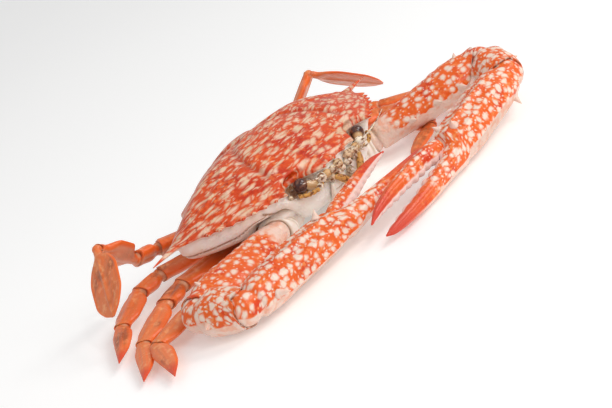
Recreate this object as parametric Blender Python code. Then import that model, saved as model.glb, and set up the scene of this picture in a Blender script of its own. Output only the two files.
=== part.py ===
"""Cooked blue swimmer crab, whole, lying on its belly with both claws folded across its face.

Sizes are in millimetres and are turned into metres as each mesh is made. The crab faces -Y, its left
is +X, and the origin is on the flat face of the abdomen flap that it lies on.
"""

import math
from dataclasses import dataclass

import bmesh
import bpy
from mathutils import Vector

MM = 0.001
GAP = 0.4

# Carapace: the front edge is an arc about a point near the rear edge.
EDGE_RADIUS = 64.0
REAR_Y = 30.0
CENTRE = Vector((0.0, 2.0))
SHOULDER_X = 54.0
SPINE_TIP = Vector((70.0, 1.0))
EDGE_HEIGHT = 21.0
DOME_RISE = 12.5
DOME_POWER = 2.2
BRIM_HALF = 1.1
FRONT_DROP = 1.2
REAR_DROP = 4.0
FOOT_HEIGHTS = ((0, 5.2), (36, 5.6), (47, 13.6), (60, 13.4), (69, 9.8), (106, 9.8), (122, 12.8), (181, 12.8))
FOOT_INSET = 0.26
FACE_INSET = 0.15
CEILING = 14.6
TOOTH_COUNT = 8
TOOTH_START = 26.0
TOOTH_PITCH = 3.75
TOOTH_RISE = 2.6
ORBIT_INNER, ORBIT_OUTER = 12.0, 27.0
ORBIT_DEPTH = 5.5
REAR_CORNER = Vector((24.0, 29.0))

# Underside.
THORAX_HALF = (21.0, 20.0)
THORAX_Y = 2.0
THORAX_FLOOR = 1.4
FLAP_HALF_WIDTH = 13.0
FLAP_FRONT, FLAP_REAR = -15.0, 23.0
FLAP_THICK = 1.0

# Eyes and mouth plates.
EYE_INNER = Vector((14.2, -32.2, 15.6))
EYE_OUTER = Vector((19.2, -28.9, 18.6))
EYE_RADIUS = 2.9
STALK_RADIUS = 1.7
MOUTH_TOP = Vector((5.0, -34.0, 14.4))
MOUTH_FOOT = Vector((4.7, -29.8, 2.8))
MOUTH_HALF = 4.2
MOUTH_THICK = 1.2

SHELL_ORANGE = (0.83, 0.18, 0.05)
CLAW_ORANGE = (0.86, 0.27, 0.11)
LEG_ORANGE = (0.72, 0.28, 0.12)
BELLY_CREAM = (0.86, 0.78, 0.68)
EYE_BROWN = (0.06, 0.02, 0.01)


@dataclass
class Link:
    """One piece of a limb.

    The profile lists (share of the length, half width, half thickness, sideways shift) from root to rim.
    Forward is the heading in degrees ahead of straight out sideways, rise is above level, and roll turns
    the wide direction from upright towards the front. The piece starts with a ball of the given radius,
    flattened in its narrow direction.
    Spines are (profile row, corner of the ring, reach).
    """

    name: str
    length: float
    ball: float
    profile: tuple
    forward: float
    rise: float
    roll: float = 90.0
    flat: float = 1.0
    spines: tuple = ()
    blunt: bool = False


# Claw limb profiles.
BASE_PROFILE = ((0.30, 5.2, 4.6, 0.0), (0.62, 6.2, 5.0, 0.0))
ARM_PROFILE = (
    (0.11, 4.4, 4.0, 0.0),
    (0.32, 6.2, 5.0, 0.6),
    (0.54, 7.6, 5.8, 0.8),
    (0.74, 8.2, 6.4, 0.4),
    (0.86, 6.2, 5.8, 0.0),
)
WRIST_PROFILE = ((0.28, 5.4, 5.2, 0.0), (0.44, 7.2, 6.6, 0.0), (0.62, 7.2, 6.6, 0.0))
PALM_PROFILE = (
    (0.056, 5.0, 4.8, 0.0),
    (0.10, 6.8, 6.2, 0.0),
    (0.24, 7.6, 6.8, 0.2),
    (0.38, 7.8, 6.6, 0.0),
    (0.49, 7.6, 5.8, 0.2),
    (0.505, 4.2, 5.0, -3.4),
    (0.60, 3.3, 4.2, -3.5),
    (0.75, 3.0, 3.3, -3.3),
    (0.88, 2.2, 2.4, -2.4),
    (0.97, 1.3, 1.3, -1.3),
    (1.0, 0.35, 0.35, -0.6),
)
FINGER_PROFILE = (
    (0.0, 2.9, 3.6, 0.0),
    (0.08, 3.4, 3.9, 0.3),
    (0.3, 3.2, 3.4, 0.8),
    (0.6, 2.7, 2.7, 0.8),
    (0.85, 1.7, 1.8, -0.2),
    (1.0, 0.35, 0.35, -1.8),
)

# Walking leg profiles, and those of the swimming leg with its paddle.
THIGH_PROFILE = ((0.14, 3.6, 2.8, 0.0), (0.38, 4.8, 3.2, 0.2), (0.74, 5.0, 3.2, 0.2), (0.92, 4.2, 3.0, 0.0))
KNEE_PROFILE = ((0.30, 3.0, 2.4, 0.0), (0.60, 4.6, 3.1, 0.4), (0.84, 4.2, 2.8, 0.2))
SHIN_PROFILE = ((0.16, 2.7, 2.1, 0.0), (0.36, 4.7, 2.6, 0.2), (0.68, 4.6, 2.5, 0.2), (0.92, 3.2, 2.1, 0.0))
SPEAR_PROFILE = ((0.10, 2.2, 1.6, 0.0), (0.26, 3.4, 1.8, 0.0), (0.6, 2.6, 1.4, -0.4), (1.0, 0.3, 0.3, -2.2))
SWIM_THIGH_PROFILE = ((0.16, 3.0, 2.6, 0.0), (0.45, 5.8, 3.4, 0.2), (0.80, 5.2, 3.4, 0.2))
SWIM_KNEE_PROFILE = ((0.26, 2.6, 2.2, 0.0), (0.55, 5.2, 3.1, 0.2), (0.82, 4.4, 2.9, 0.0))
SWIM_SHIN_PROFILE = ((0.14, 2.2, 1.9, 0.0), (0.36, 6.2, 2.2, 0.3), (0.66, 6.4, 2.2, 0.3), (0.88, 2.8, 2.1, 0.0))
PADDLE_PROFILE = (
    (0.08, 1.5, 1.3, 0.0),
    (0.20, 5.2, 1.3, 0.0),
    (0.42, 7.8, 1.1, 0.0),
    (0.68, 7.6, 0.9, 0.0),
    (0.9, 4.4, 0.7, 0.0),
    (1.0, 0.8, 0.4, 0.0),
)

def clear_scene():
    for item in list(bpy.data.objects):
        bpy.data.objects.remove(item, do_unlink=True)


def make_material(name, colour, roughness):
    material = bpy.data.materials.new(name)
    material.use_nodes = True
    shader = material.node_tree.nodes["Principled BSDF"]
    shader.inputs["Base Color"].default_value = (*colour, 1.0)
    shader.inputs["Roughness"].default_value = roughness
    shader.inputs["Metallic"].default_value = 0.0
    return material


def smoothstep(value):
    value = min(1.0, max(0.0, value))
    return value * value * (3.0 - 2.0 * value)


def loft(name, rings, material):
    """Skins a closed solid over rings of equally many points and caps both ends."""
    form = bmesh.new()
    loops = [[form.verts.new(point * MM) for point in ring] for ring in rings]
    count = len(loops[0])
    for near, far in zip(loops, loops[1:]):
        for i in range(count):
            j = (i + 1) % count
            form.faces.new((near[i], near[j], far[j], far[i]))
    form.faces.new(reversed(loops[0]))
    form.faces.new(loops[-1])
    bmesh.ops.recalc_face_normals(form, faces=form.faces)
    mesh = bpy.data.meshes.new(name)
    form.to_mesh(mesh)
    form.free()
    mesh.shade_smooth()
    mesh.set_sharp_from_angle(angle=math.radians(40))
    mesh.materials.append(material)
    made = bpy.data.objects.new(name, mesh)
    bpy.context.collection.objects.link(made)
    return made


# --- Carapace -------------------------------------------------------------------------------------


def arc_point(degrees, outward=0.0):
    """A point of the front edge's arc, at an angle from straight ahead."""
    angle = math.radians(degrees)
    radius = EDGE_RADIUS + outward
    return Vector((radius * math.sin(angle), REAR_Y - radius * math.cos(angle)))


def half_edge():
    """(edge point, tip point) pairs down the left side, from the middle of the front to that of the rear."""
    pairs = []
    for x, rise in ((0.0, 0.0), (3.2, 1.6), (6.2, 0.2), (9.4, 2.2)):
        edge = arc_point(math.degrees(math.asin(x / EDGE_RADIUS)), -1.0)
        pairs.append((edge, edge + Vector((0.0, -rise))))
    for share in (0.0, 0.3, 0.6, 0.9):
        x = ORBIT_INNER + share * (ORBIT_OUTER - ORBIT_INNER)
        edge = arc_point(math.degrees(math.asin(x / EDGE_RADIUS)), -1.0)
        edge.y += ORBIT_DEPTH * math.sin(math.pi * share)
        pairs.append((edge, edge + Vector((0.0, -0.3))))
    for tooth in range(TOOTH_COUNT):
        angle = TOOTH_START + tooth * TOOTH_PITCH
        pairs.append((arc_point(angle), arc_point(angle - 0.25 * TOOTH_PITCH, TOOTH_RISE)))
        pairs.append((arc_point(angle + 0.55 * TOOTH_PITCH), arc_point(angle + 0.55 * TOOTH_PITCH, 0.3)))
    shoulder = Vector((SHOULDER_X + 1.0, 1.2))
    pairs.append((shoulder + Vector((-0.3, -2.6)), shoulder + Vector((4.0, -2.2))))
    pairs.append((shoulder, SPINE_TIP))
    pairs.append((shoulder + Vector((-0.8, 2.8)), shoulder + Vector((2.6, 2.4))))
    start = shoulder + Vector((-1.6, 4.6))
    for step in range(1, 7):
        share = step / 6
        edge = start.lerp(REAR_CORNER, share)
        inward = Vector((-1.0, -1.0)).normalized() * 2.4 * math.sin(math.pi * share)
        pairs.append((edge + inward, edge + inward * 0.9))
    for x in (12.0, 0.0):
        edge = Vector((x, REAR_Y + 1.0))
        pairs.append((edge, edge + Vector((0.0, 0.3))))
    return pairs


def full_edge():
    """The pairs all the way round, the right side mirrored from the left."""
    left = half_edge()
    right = [tuple(Vector((-p.x, p.y)) for p in pair) for pair in left[-2:0:-1]]
    return left + right


def edge_height(edge):
    """The rim dips towards the front and more towards the rear."""
    if edge.y < 0.0:
        return EDGE_HEIGHT - FRONT_DROP * smoothstep(-edge.y / 33.0)
    return EDGE_HEIGHT - REAR_DROP * smoothstep(edge.y / REAR_Y)


def swing_of(edge):
    """Degrees round from straight ahead, seen from the middle."""
    return abs(math.degrees(math.atan2(edge.x, CENTRE.y - edge.y)))


def foot_share(edge):
    """How far out the flank's foot is. The face stands steeper than the sides."""
    return 1.0 - FACE_INSET - (FOOT_INSET - FACE_INSET) * smoothstep((swing_of(edge) - 32.0) / 14.0)


def foot_height(edge):
    """The flank reaches low at the mouth and sides, and stops above the claws and swimming legs."""
    swing = swing_of(edge)
    for (low, before), (high, after) in zip(FOOT_HEIGHTS, FOOT_HEIGHTS[1:]):
        if swing <= high:
            return before + (after - before) * smoothstep((swing - low) / (high - low))
    return FOOT_HEIGHTS[-1][1]


def carapace_ring(pairs, share, rise):
    """Points at a share of the way from the middle to the edge, lifted by rise above the rim."""
    ring = []
    for edge, _ in pairs:
        flat = CENTRE.lerp(edge, share)
        ring.append(Vector((flat.x, flat.y, edge_height(edge) * share + EDGE_HEIGHT * (1 - share) + rise)))
    return ring


def make_carapace(material):
    pairs = full_edge()
    rings = [[Vector((*CENTRE.lerp(e, 0.3), CEILING)) for e, _ in pairs]]
    rings.append([Vector((*CENTRE.lerp(e, 0.66), CEILING)) for e, _ in pairs])
    for inset, drop in ((1.0, 1.0), (0.70, 0.84), (0.40, 0.56), (0.12, 0.22)):
        ring = []
        for edge, _ in pairs:
            top = edge_height(edge) - BRIM_HALF
            share = 1.0 - (1.0 - foot_share(edge)) * inset
            height = top + (foot_height(edge) - top) * drop
            ring.append(Vector((*CENTRE.lerp(edge, share), height)))
        rings.append(ring)
    rings.append([Vector((*e, edge_height(e) - BRIM_HALF)) for e, _ in pairs])
    rings.append([Vector((*t, edge_height(e))) for e, t in pairs])
    for share in (1.0, 0.93, 0.8, 0.62, 0.42, 0.2, 0.06):
        rise = BRIM_HALF + DOME_RISE * (1.0 - share**DOME_POWER)
        rings.append(carapace_ring(pairs, share, rise))
    return loft("carapace", rings, material)


# --- Underside ------------------------------------------------------------------------------------


def oval(half_x, half_y, centre_y, height, count=28, squareness=2.6):
    """A rounded outline at one height."""
    ring = []
    for i in range(count):
        angle = 2 * math.pi * i / count
        c, s = math.cos(angle), math.sin(angle)
        x = half_x * math.copysign(abs(c) ** (2 / squareness), c)
        y = centre_y + half_y * math.copysign(abs(s) ** (2 / squareness), s)
        ring.append(Vector((x, y, height)))
    return ring


def make_thorax(material):
    half_x, half_y = THORAX_HALF
    top = CEILING - GAP
    levels = (
        (0.86, THORAX_FLOOR),
        (0.96, THORAX_FLOOR + 1.0),
        (1.0, THORAX_FLOOR + 3.6),
        (0.96, 9.4),
        (0.86, top),
    )
    rings = [oval(half_x * s, half_y * s, THORAX_Y, z) for s, z in levels]
    return loft("thorax", rings, material)


def make_flap(material):
    """The abdomen folded flat under the thorax, a long triangle with a rounded point."""
    stations = 9
    rings = []
    for level, inset in ((0.0, 0.6), (0.35, 0.0), (FLAP_THICK, 0.0)):
        left, right = [], []
        for step in range(stations):
            share = step / (stations - 1)
            y = FLAP_REAR + (FLAP_FRONT - FLAP_REAR) * share
            half = (FLAP_HALF_WIDTH - inset) * math.sqrt(1.0 - share**1.7) + 0.5
            left.append(Vector((half, y, level)))
            right.append(Vector((-half, y, level)))
        rings.append(left + right[::-1])
    return loft("abdomen_flap", rings, material)


# --- Eyes and mouth -------------------------------------------------------------------------------


def make_eye(side, material):
    inner = Vector((side * EYE_INNER.x, EYE_INNER.y, EYE_INNER.z))
    outer = Vector((side * EYE_OUTER.x, EYE_OUTER.y, EYE_OUTER.z))
    axis = (outer - inner).normalized()
    across = axis.cross(Vector((0, 0, 1))).normalized()
    over = across.cross(axis)
    reach = (outer - inner).length
    stations = [(0.0, STALK_RADIUS * 0.6), (0.8, STALK_RADIUS), (reach - 2.4, STALK_RADIUS)]
    for step in range(1, 7):
        angle = math.pi * (0.22 + 0.74 * step / 6)
        stations.append((reach - EYE_RADIUS * math.cos(angle), EYE_RADIUS * math.sin(angle)))
    rings = []
    for along, radius in stations:
        ring = []
        for i in range(10):
            turn = 2 * math.pi * i / 10
            ring.append(inner + axis * along + (across * math.cos(turn) + over * math.sin(turn)) * radius)
        rings.append(ring)
    return loft(f"eye_{side_name(side)}", rings, material)


def make_mouth_plate(side, material):
    top = Vector((side * MOUTH_TOP.x, MOUTH_TOP.y, MOUTH_TOP.z))
    foot = Vector((side * MOUTH_FOOT.x, MOUTH_FOOT.y, MOUTH_FOOT.z))
    axis = (foot - top).normalized()
    across = Vector((1.0, 0.0, 0.0))
    outward = axis.cross(across).normalized()
    reach = (foot - top).length
    rings = []
    for along, fill in ((0.0, 0.5), (0.12, 0.85), (0.4, 1.0), (0.75, 0.95), (0.94, 0.8), (1.0, 0.5)):
        ring = []
        for i in range(8):
            turn = 2 * math.pi * (i + 0.5) / 8
            flat = across * math.cos(turn) * MOUTH_HALF * fill
            ring.append(top + axis * reach * along + flat + outward * math.sin(turn) * MOUTH_THICK * fill)
        rings.append(ring)
    return loft(f"mouth_plate_{side_name(side)}", rings, material)


# --- Limbs ----------------------------------------------------------------------------------------


def side_name(side):
    return "left" if side > 0 else "right"


def heading(side, forward, rise):
    """Unit vector of a limb piece: degrees forward of straight out sideways, and above level."""
    turn, lift = math.radians(forward), math.radians(rise)
    level = math.cos(lift)
    return Vector((side * level * math.cos(turn), -level * math.sin(turn), math.sin(lift)))


def frame_of(axis, side, roll):
    """(wide, narrow) directions square to the axis. At a quarter turn wide is level and narrow is up."""
    up = Vector((0, 0, 1)) - axis * axis.z
    up.normalize()
    across = axis.cross(up) * side
    turn = math.radians(roll)
    wide = up * math.cos(turn) + across * math.sin(turn)
    return wide, wide.cross(axis) * side


def link_rings(link, start, side, sides, following):
    """Rings of one limb piece: a ball at its root, its body, then a cup for the next ball or a tip.

    The cup is shallower where the limb bends sharply, which leaves room for the neck of the next piece.
    """
    axis = heading(side, link.forward, link.rise)
    wide, narrow = frame_of(axis, side, link.roll)

    def ring(along, half_wide, half_thick, shift=0.0):
        points = []
        for i in range(sides):
            turn = 2 * math.pi * i / sides
            offset = wide * (shift + half_wide * math.cos(turn)) + narrow * half_thick * math.sin(turn)
            points.append(start + axis * along + offset)
        return points

    rings = []
    for angle in () if link.blunt else (150, 105, 60):
        radius = link.ball * math.sin(math.radians(angle))
        rings.append(ring(link.ball * math.cos(math.radians(angle)), radius, radius * link.flat))
    body = [ring(link.length * share, *sizes) for share, *sizes in link.profile]
    for row, corner, reach in link.spines:
        middle = sum(body[row], Vector()) / sides
        point = body[row][corner]
        body[row][corner] = point + (point - middle).normalized() * reach + axis * reach * 0.3
    rings += body
    if following:
        bend = math.degrees(axis.angle(heading(side, following.forward, following.rise)))
        cup = following.ball + GAP
        step = following.ball * (0.25 + 0.6 * smoothstep((bend - 35.0) / 45.0))
        lip = math.sqrt(cup**2 - step**2)
        flat = (following.ball * following.flat + GAP) / cup
        rings.append(ring(link.length - step - 0.01, lip + 0.5, lip * flat + 0.5))
        rings.append(ring(link.length - step, lip, lip * flat))
        edge = math.degrees(math.acos(step / cup))
        for share in (0.6, 0.25):
            angle = math.radians(edge * share)
            radius = cup * math.sin(angle)
            rings.append(ring(link.length - cup * math.cos(angle), radius, radius * flat))
    return rings, start + axis * link.length


def make_limb(prefix, root, side, links, sides, material):
    """Builds a limb's pieces outwards from its root, each in the cup of the one before."""
    start = Vector((side * root[0], root[1], root[2]))
    for link, following in zip(links, links[1:] + [None]):
        rings, start = link_rings(link, start, side, sides, following)
        loft(f"{prefix}_{side_name(side)}_{link.name}", rings, material)


ARM_SPINES = ((1, 0, 2.6), (2, 0, 3.2), (3, 0, 3.2))
CLAW_ROOT = (23.4, -15.5, 7.4)
CLAW_POSES = {
    1: {"base": (40, 6), "arm": (40, 8), "wrist": (122, -9), "palm": (180, -5), "roll": 50, "finger": 4.0},
    -1: {"base": (32, 4), "arm": (4, 0), "wrist": (92, 0), "palm": (172, 1), "roll": 84, "finger": 18.0},
}


def make_claw(side, material):
    pose = CLAW_POSES[side]
    links = [
        Link("base", 11.0, 4.8, BASE_PROFILE, *pose["base"]),
        Link("arm", 50.0, 4.4, ARM_PROFILE, *pose["arm"], spines=ARM_SPINES),
        Link("wrist", 20.0, 6.0, WRIST_PROFILE, *pose["wrist"], spines=((1, 0, 2.5), (1, 5, 2.5))),
        Link("palm", 97.0, 5.6, PALM_PROFILE, *pose["palm"], roll=pose["roll"], spines=((1, 5, 2.6),)),
    ]
    make_limb("claw", CLAW_ROOT, side, links, 10, material)
    start = Vector((side * CLAW_ROOT[0], CLAW_ROOT[1], CLAW_ROOT[2]))
    for link in links[:-1]:
        start += heading(side, link.forward, link.rise) * link.length
    palm = links[-1]
    axis = heading(side, palm.forward, palm.rise)
    wide, _ = frame_of(axis, side, palm.roll)
    hinge = start + axis * (palm.length * 0.52) + wide * 4.4
    hinge.x *= side
    turn = math.radians(pose["finger"])
    aim = axis * math.cos(turn) + wide * math.sin(turn)
    forward = math.degrees(math.atan2(-aim.y, side * aim.x))
    rise = math.degrees(math.asin(aim.z))
    finger = Link("finger", 45.0, 2.0, FINGER_PROFILE, forward, rise, roll=pose["roll"], blunt=True)
    make_limb("claw", hinge, side, [finger], 10, material)


LEG_ROOTS = ((23.6, -6.2, 5.4), (24.4, 3.4, 5.4), (23.8, 12.6, 5.6))
LEG_LENGTHS = ((33.0, 13.0, 25.0, 27.0), (32.0, 13.0, 24.0, 26.0), (28.0, 12.0, 22.0, 25.0))
LEG_POSES = {
    1: (
        ((6, -2), (58, 0), (134, -1), (168, -2)),
        ((-6, 0), (34, 0), (78, -3), (116, -3)),
        ((-24, 3), (10, 0), (42, -5), (66, -4)),
    ),
    -1: (
        ((-1, 0), (18, -2), (4, -1), (58, -3)),
        ((-11, 0), (12, 0), (20, -4), (46, -3)),
        ((-28, 3), (-4, 0), (22, -5), (44, -4)),
    ),
}


def make_legs(side, material):
    names = ("first", "second", "third")
    for name, root, lengths, poses in zip(names, LEG_ROOTS, LEG_LENGTHS, LEG_POSES[side]):
        links = [
            Link("thigh", lengths[0], 3.0, THIGH_PROFILE, *poses[0], flat=0.8),
            Link("knee", lengths[1], 3.1, KNEE_PROFILE, *poses[1], flat=0.74),
            Link("shin", lengths[2], 2.9, SHIN_PROFILE, *poses[2], flat=0.7),
            Link("spear", lengths[3], 2.2, SPEAR_PROFILE, *poses[3], flat=0.66),
        ]
        make_limb(f"leg_{name}", root, side, links, 8, material)


SWIM_ROOT = (22.4, 20.2, 10.0)
SWIM_POSES = {
    1: ((-30, 8), (4, 16), (18, 36), (46, -34)),
    -1: ((-34, 8), (0, 14), (12, 40), (40, -30)),
}


def make_swimming_leg(side, material):
    poses = SWIM_POSES[side]
    links = [
        Link("thigh", 20.0, 2.6, SWIM_THIGH_PROFILE, *poses[0], roll=60),
        Link("knee", 12.0, 2.3, SWIM_KNEE_PROFILE, *poses[1], roll=60),
        Link("shin", 21.0, 2.1, SWIM_SHIN_PROFILE, *poses[2], roll=60),
        Link("paddle", 31.0, 1.6, PADDLE_PROFILE, *poses[3], roll=60),
    ]
    make_limb("swimmer", SWIM_ROOT, side, links, 8, material)


def main():
    clear_scene()
    shell = make_material("shell_orange", SHELL_ORANGE, 0.35)
    claw = make_material("claw_orange", CLAW_ORANGE, 0.35)
    leg = make_material("leg_orange", LEG_ORANGE, 0.35)
    cream = make_material("belly_cream", BELLY_CREAM, 0.4)
    eye = make_material("eye_brown", EYE_BROWN, 0.15)
    make_carapace(shell)
    make_thorax(cream)
    make_flap(cream)
    for side in (1, -1):
        make_eye(side, eye)
        make_mouth_plate(side, cream)
        make_claw(side, claw)
        make_legs(side, leg)
        make_swimming_leg(side, leg)


main()
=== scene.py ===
"""A cooked swimming crab dressed for close view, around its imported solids.

Sizes are in millimetres and become metres as each mesh is made. The crab faces -Y, its left is +X, and
the origin is on the flat face of the abdomen flap that it lies on.
"""

from __future__ import annotations

import logging
import math
from dataclasses import dataclass, field
from enum import Enum

import bpy
import numpy as np
from mathutils import Matrix, Vector


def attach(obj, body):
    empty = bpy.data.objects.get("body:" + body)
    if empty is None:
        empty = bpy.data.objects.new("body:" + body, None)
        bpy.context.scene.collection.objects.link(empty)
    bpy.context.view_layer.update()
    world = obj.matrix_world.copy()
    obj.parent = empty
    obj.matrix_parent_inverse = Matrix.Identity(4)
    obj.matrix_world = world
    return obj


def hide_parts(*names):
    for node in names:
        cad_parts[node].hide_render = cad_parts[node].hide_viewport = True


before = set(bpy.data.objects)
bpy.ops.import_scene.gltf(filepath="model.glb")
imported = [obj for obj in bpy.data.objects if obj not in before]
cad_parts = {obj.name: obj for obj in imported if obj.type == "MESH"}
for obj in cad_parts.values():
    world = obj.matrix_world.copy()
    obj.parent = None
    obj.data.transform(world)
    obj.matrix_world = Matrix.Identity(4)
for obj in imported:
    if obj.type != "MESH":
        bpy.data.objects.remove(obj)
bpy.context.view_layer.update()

log = logging.getLogger("crab")

Array = np.ndarray
Material = bpy.types.Material
Socket = bpy.types.NodeSocket
RGB = tuple[float, float, float]
Point = tuple[float, float, float]
Pair = tuple[float, float]

MM = 0.001
GAP = 0.4
BODY = "root"
SIDES = {1: "left", -1: "right"}
DORSAL = np.array((0.0, -0.33, 0.944))
SPINE_GUIDE = (0.31, 0.27, 0.91)
TUBE_GUIDE = (0.13, 0.41, 0.9)
CUP_TURNS = (1.0, 0.9, 0.75, 0.55, 0.35, 0.14)
BALL_TURNS = (168, 155, 142, 130, 118, 106, 95, 84, 73)
BLUNT_TURNS = (1.3, 1.0, 0.7, 0.35)
BLUNT_RISE = 1.9
ARC_PASSES = 60
CLASP = 0.12
FOOT_SUNK = 0.55
THORN_LEAN = 0.45


class Slot(Enum):
    """Material slots, by name."""

    SHELL = "shell"
    CLAW = "claw"
    LEG = "leg"
    CREAM = "cream"
    EYE = "eye"


class Mark(Enum):
    """What a point of a skin tells its finish."""

    PALE = "pale"
    TIP = "tip"
    EDGE = "edge"
    CREASE = "crease"
    ROOT = "root"
    TOOTH = "tooth"


class Section(Enum):
    """The cross sections that a limb piece can have."""

    ROUND = "round"
    ARM = "arm"
    WRIST = "wrist"
    PALM = "palm"
    FINGER = "finger"
    LEG = "leg"
    SPEAR = "spear"
    PADDLE = "paddle"


# --- Small sums ---


def smooth(value: Array | float) -> Array | float:
    """Eases from 0 to 1 as the value does, and holds outside that."""
    held = np.clip(value, 0.0, 1.0)
    return held * held * (3.0 - 2.0 * held)


def unit(vector: Array) -> Array:
    """The vector, or each row of vectors, at length one."""
    return vector / np.maximum(np.linalg.norm(vector, axis=-1, keepdims=True), 1e-12)


def hill(value: Array | float, middle: float, width: float) -> Array | float:
    """A bell of height one about a middle."""
    return np.exp(-(((value - middle) / width) ** 2))


def ribs(turn: Array, degrees: tuple[int, ...], width: float, level: float = 0.0) -> Array:
    """The sum of narrow bells round a limb piece, at some degrees round it, each less a level."""
    return sum(np.exp(-((1 - np.cos(turn - math.radians(at))) / width)) - level for at in degrees)


def signed_power(value: Array, power: float) -> Array:
    """Raises a value's size to a power and keeps its sign."""
    return np.sign(value) * np.abs(value) ** power


def circle(sides: int) -> tuple[Array, Array, Array]:
    """Even turns round a circle, with their cosines and sines."""
    turn = np.linspace(0, 2 * math.pi, sides, endpoint=False)
    return turn, np.cos(turn), np.sin(turn)


def on_side(point: Point, side: int) -> Array:
    """The point on its own side of the crab."""
    return np.array((side * point[0], point[1], point[2]))


def arch(start: Array, middle: Array, stop: Array, share: Array) -> Array:
    """Points on a curve that leaves its start for a middle point and reaches its stop from there."""
    return (1 - share) ** 2 * start + 2 * share * (1 - share) * middle + share**2 * stop


def hoops(middles: Array, radii: Array, along: Array, guide: tuple, sides: int) -> Array:
    """Rings of points round a line.

    Args:
        middles: the rings' middles.
        radii: their radii.
        along: the way the line goes, one for all or one for each ring.
        guide: a direction that the line never takes, which sets where each ring starts.
        sides: how many points a ring has.

    Returns:
        The points, as (rings, sides, 3).
    """
    across = unit(np.cross(along, guide))
    _, c, s = circle(sides)
    ring = c[:, None] * across[..., None, :] + s[:, None] * np.cross(along, across)[..., None, :]
    return middles[:, None] + ring * radii[:, None, None]


def flow(knots: Array, values: Array, at: Array) -> Array:
    """A smooth line through knots that never swings past them.

    Args:
        knots: rising places of the known values.
        values: the known values.
        at: the places to read.

    Returns:
        The line's value at each place.
    """
    step = np.diff(knots)
    slope = np.diff(values) / step
    lean = np.zeros(len(knots))
    lean[0], lean[-1] = slope[0], slope[-1]
    for i in range(1, len(knots) - 1):
        if slope[i - 1] * slope[i] > 0.0:
            before, after = 2 * step[i] + step[i - 1], step[i] + 2 * step[i - 1]
            lean[i] = (before + after) / (before / slope[i - 1] + after / slope[i])
    at = np.clip(at, knots[0], knots[-1])
    i = np.clip(np.searchsorted(knots, at, side="right") - 1, 0, len(step) - 1)
    u = (at - knots[i]) / step[i]
    rise = values[i] * (2 * u**3 - 3 * u**2 + 1) + values[i + 1] * (3 * u**2 - 2 * u**3)
    return rise + step[i] * (lean[i] * (u**3 - 2 * u**2 + u) + lean[i + 1] * (u**3 - u**2))


def thread(corners: Array, at: Array) -> Array:
    """Points on a smooth line through corners that are one step apart."""
    knots = np.arange(float(len(corners)))
    return np.column_stack([flow(knots, column, at) for column in corners.T])


def off_line(x: Array, y: Array, line: tuple) -> Array:
    """How far flat points lie from a bent line.

    Args:
        x: the points' first coordinates.
        y: their second coordinates.
        line: the line's corners, as pairs.

    Returns:
        The distance from each point to the nearest place on the line.
    """
    nearest = np.full(np.shape(x), np.inf)
    for (ax, ay), (bx, by) in zip(line, line[1:]):
        dx, dy = bx - ax, by - ay
        share = np.clip(((x - ax) * dx + (y - ay) * dy) / (dx * dx + dy * dy), 0.0, 1.0)
        nearest = np.minimum(nearest, np.hypot(x - ax - share * dx, y - ay - share * dy))
    return nearest


def pale_side(rings: Array, low: float, high: float) -> Array:
    """Where a ringed skin faces away from the crab's upper side.

    Args:
        rings: the skin's points.
        low: how far a skin that is all pale may face the upper side.
        high: how far a skin that isn't pale at all has to face it.

    Returns:
        One where the skin is pale and nothing where it isn't, with soft edges.
    """
    around = np.roll(rings, -1, axis=1) - np.roll(rings, 1, axis=1)
    normal = unit(np.cross(np.gradient(rings, axis=0), around))
    outward = np.einsum("ijk,ijk->i", normal, rings - rings.mean(axis=1, keepdims=True))
    normal = normal * np.where(outward < 0.0, -1.0, 1.0)[:, None, None]
    return 1.0 - smooth((normal @ DORSAL - low) / (high - low))


def add_object(name: str, data: bpy.types.ID) -> bpy.types.Object:
    """Puts a mesh, lamp or camera into the scene.

    Args:
        name: the object's name.
        data: what it shows.

    Returns:
        The object.
    """
    made = bpy.data.objects.new(name, data)
    bpy.context.collection.objects.link(made)
    return made


# --- Skins ---


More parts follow.
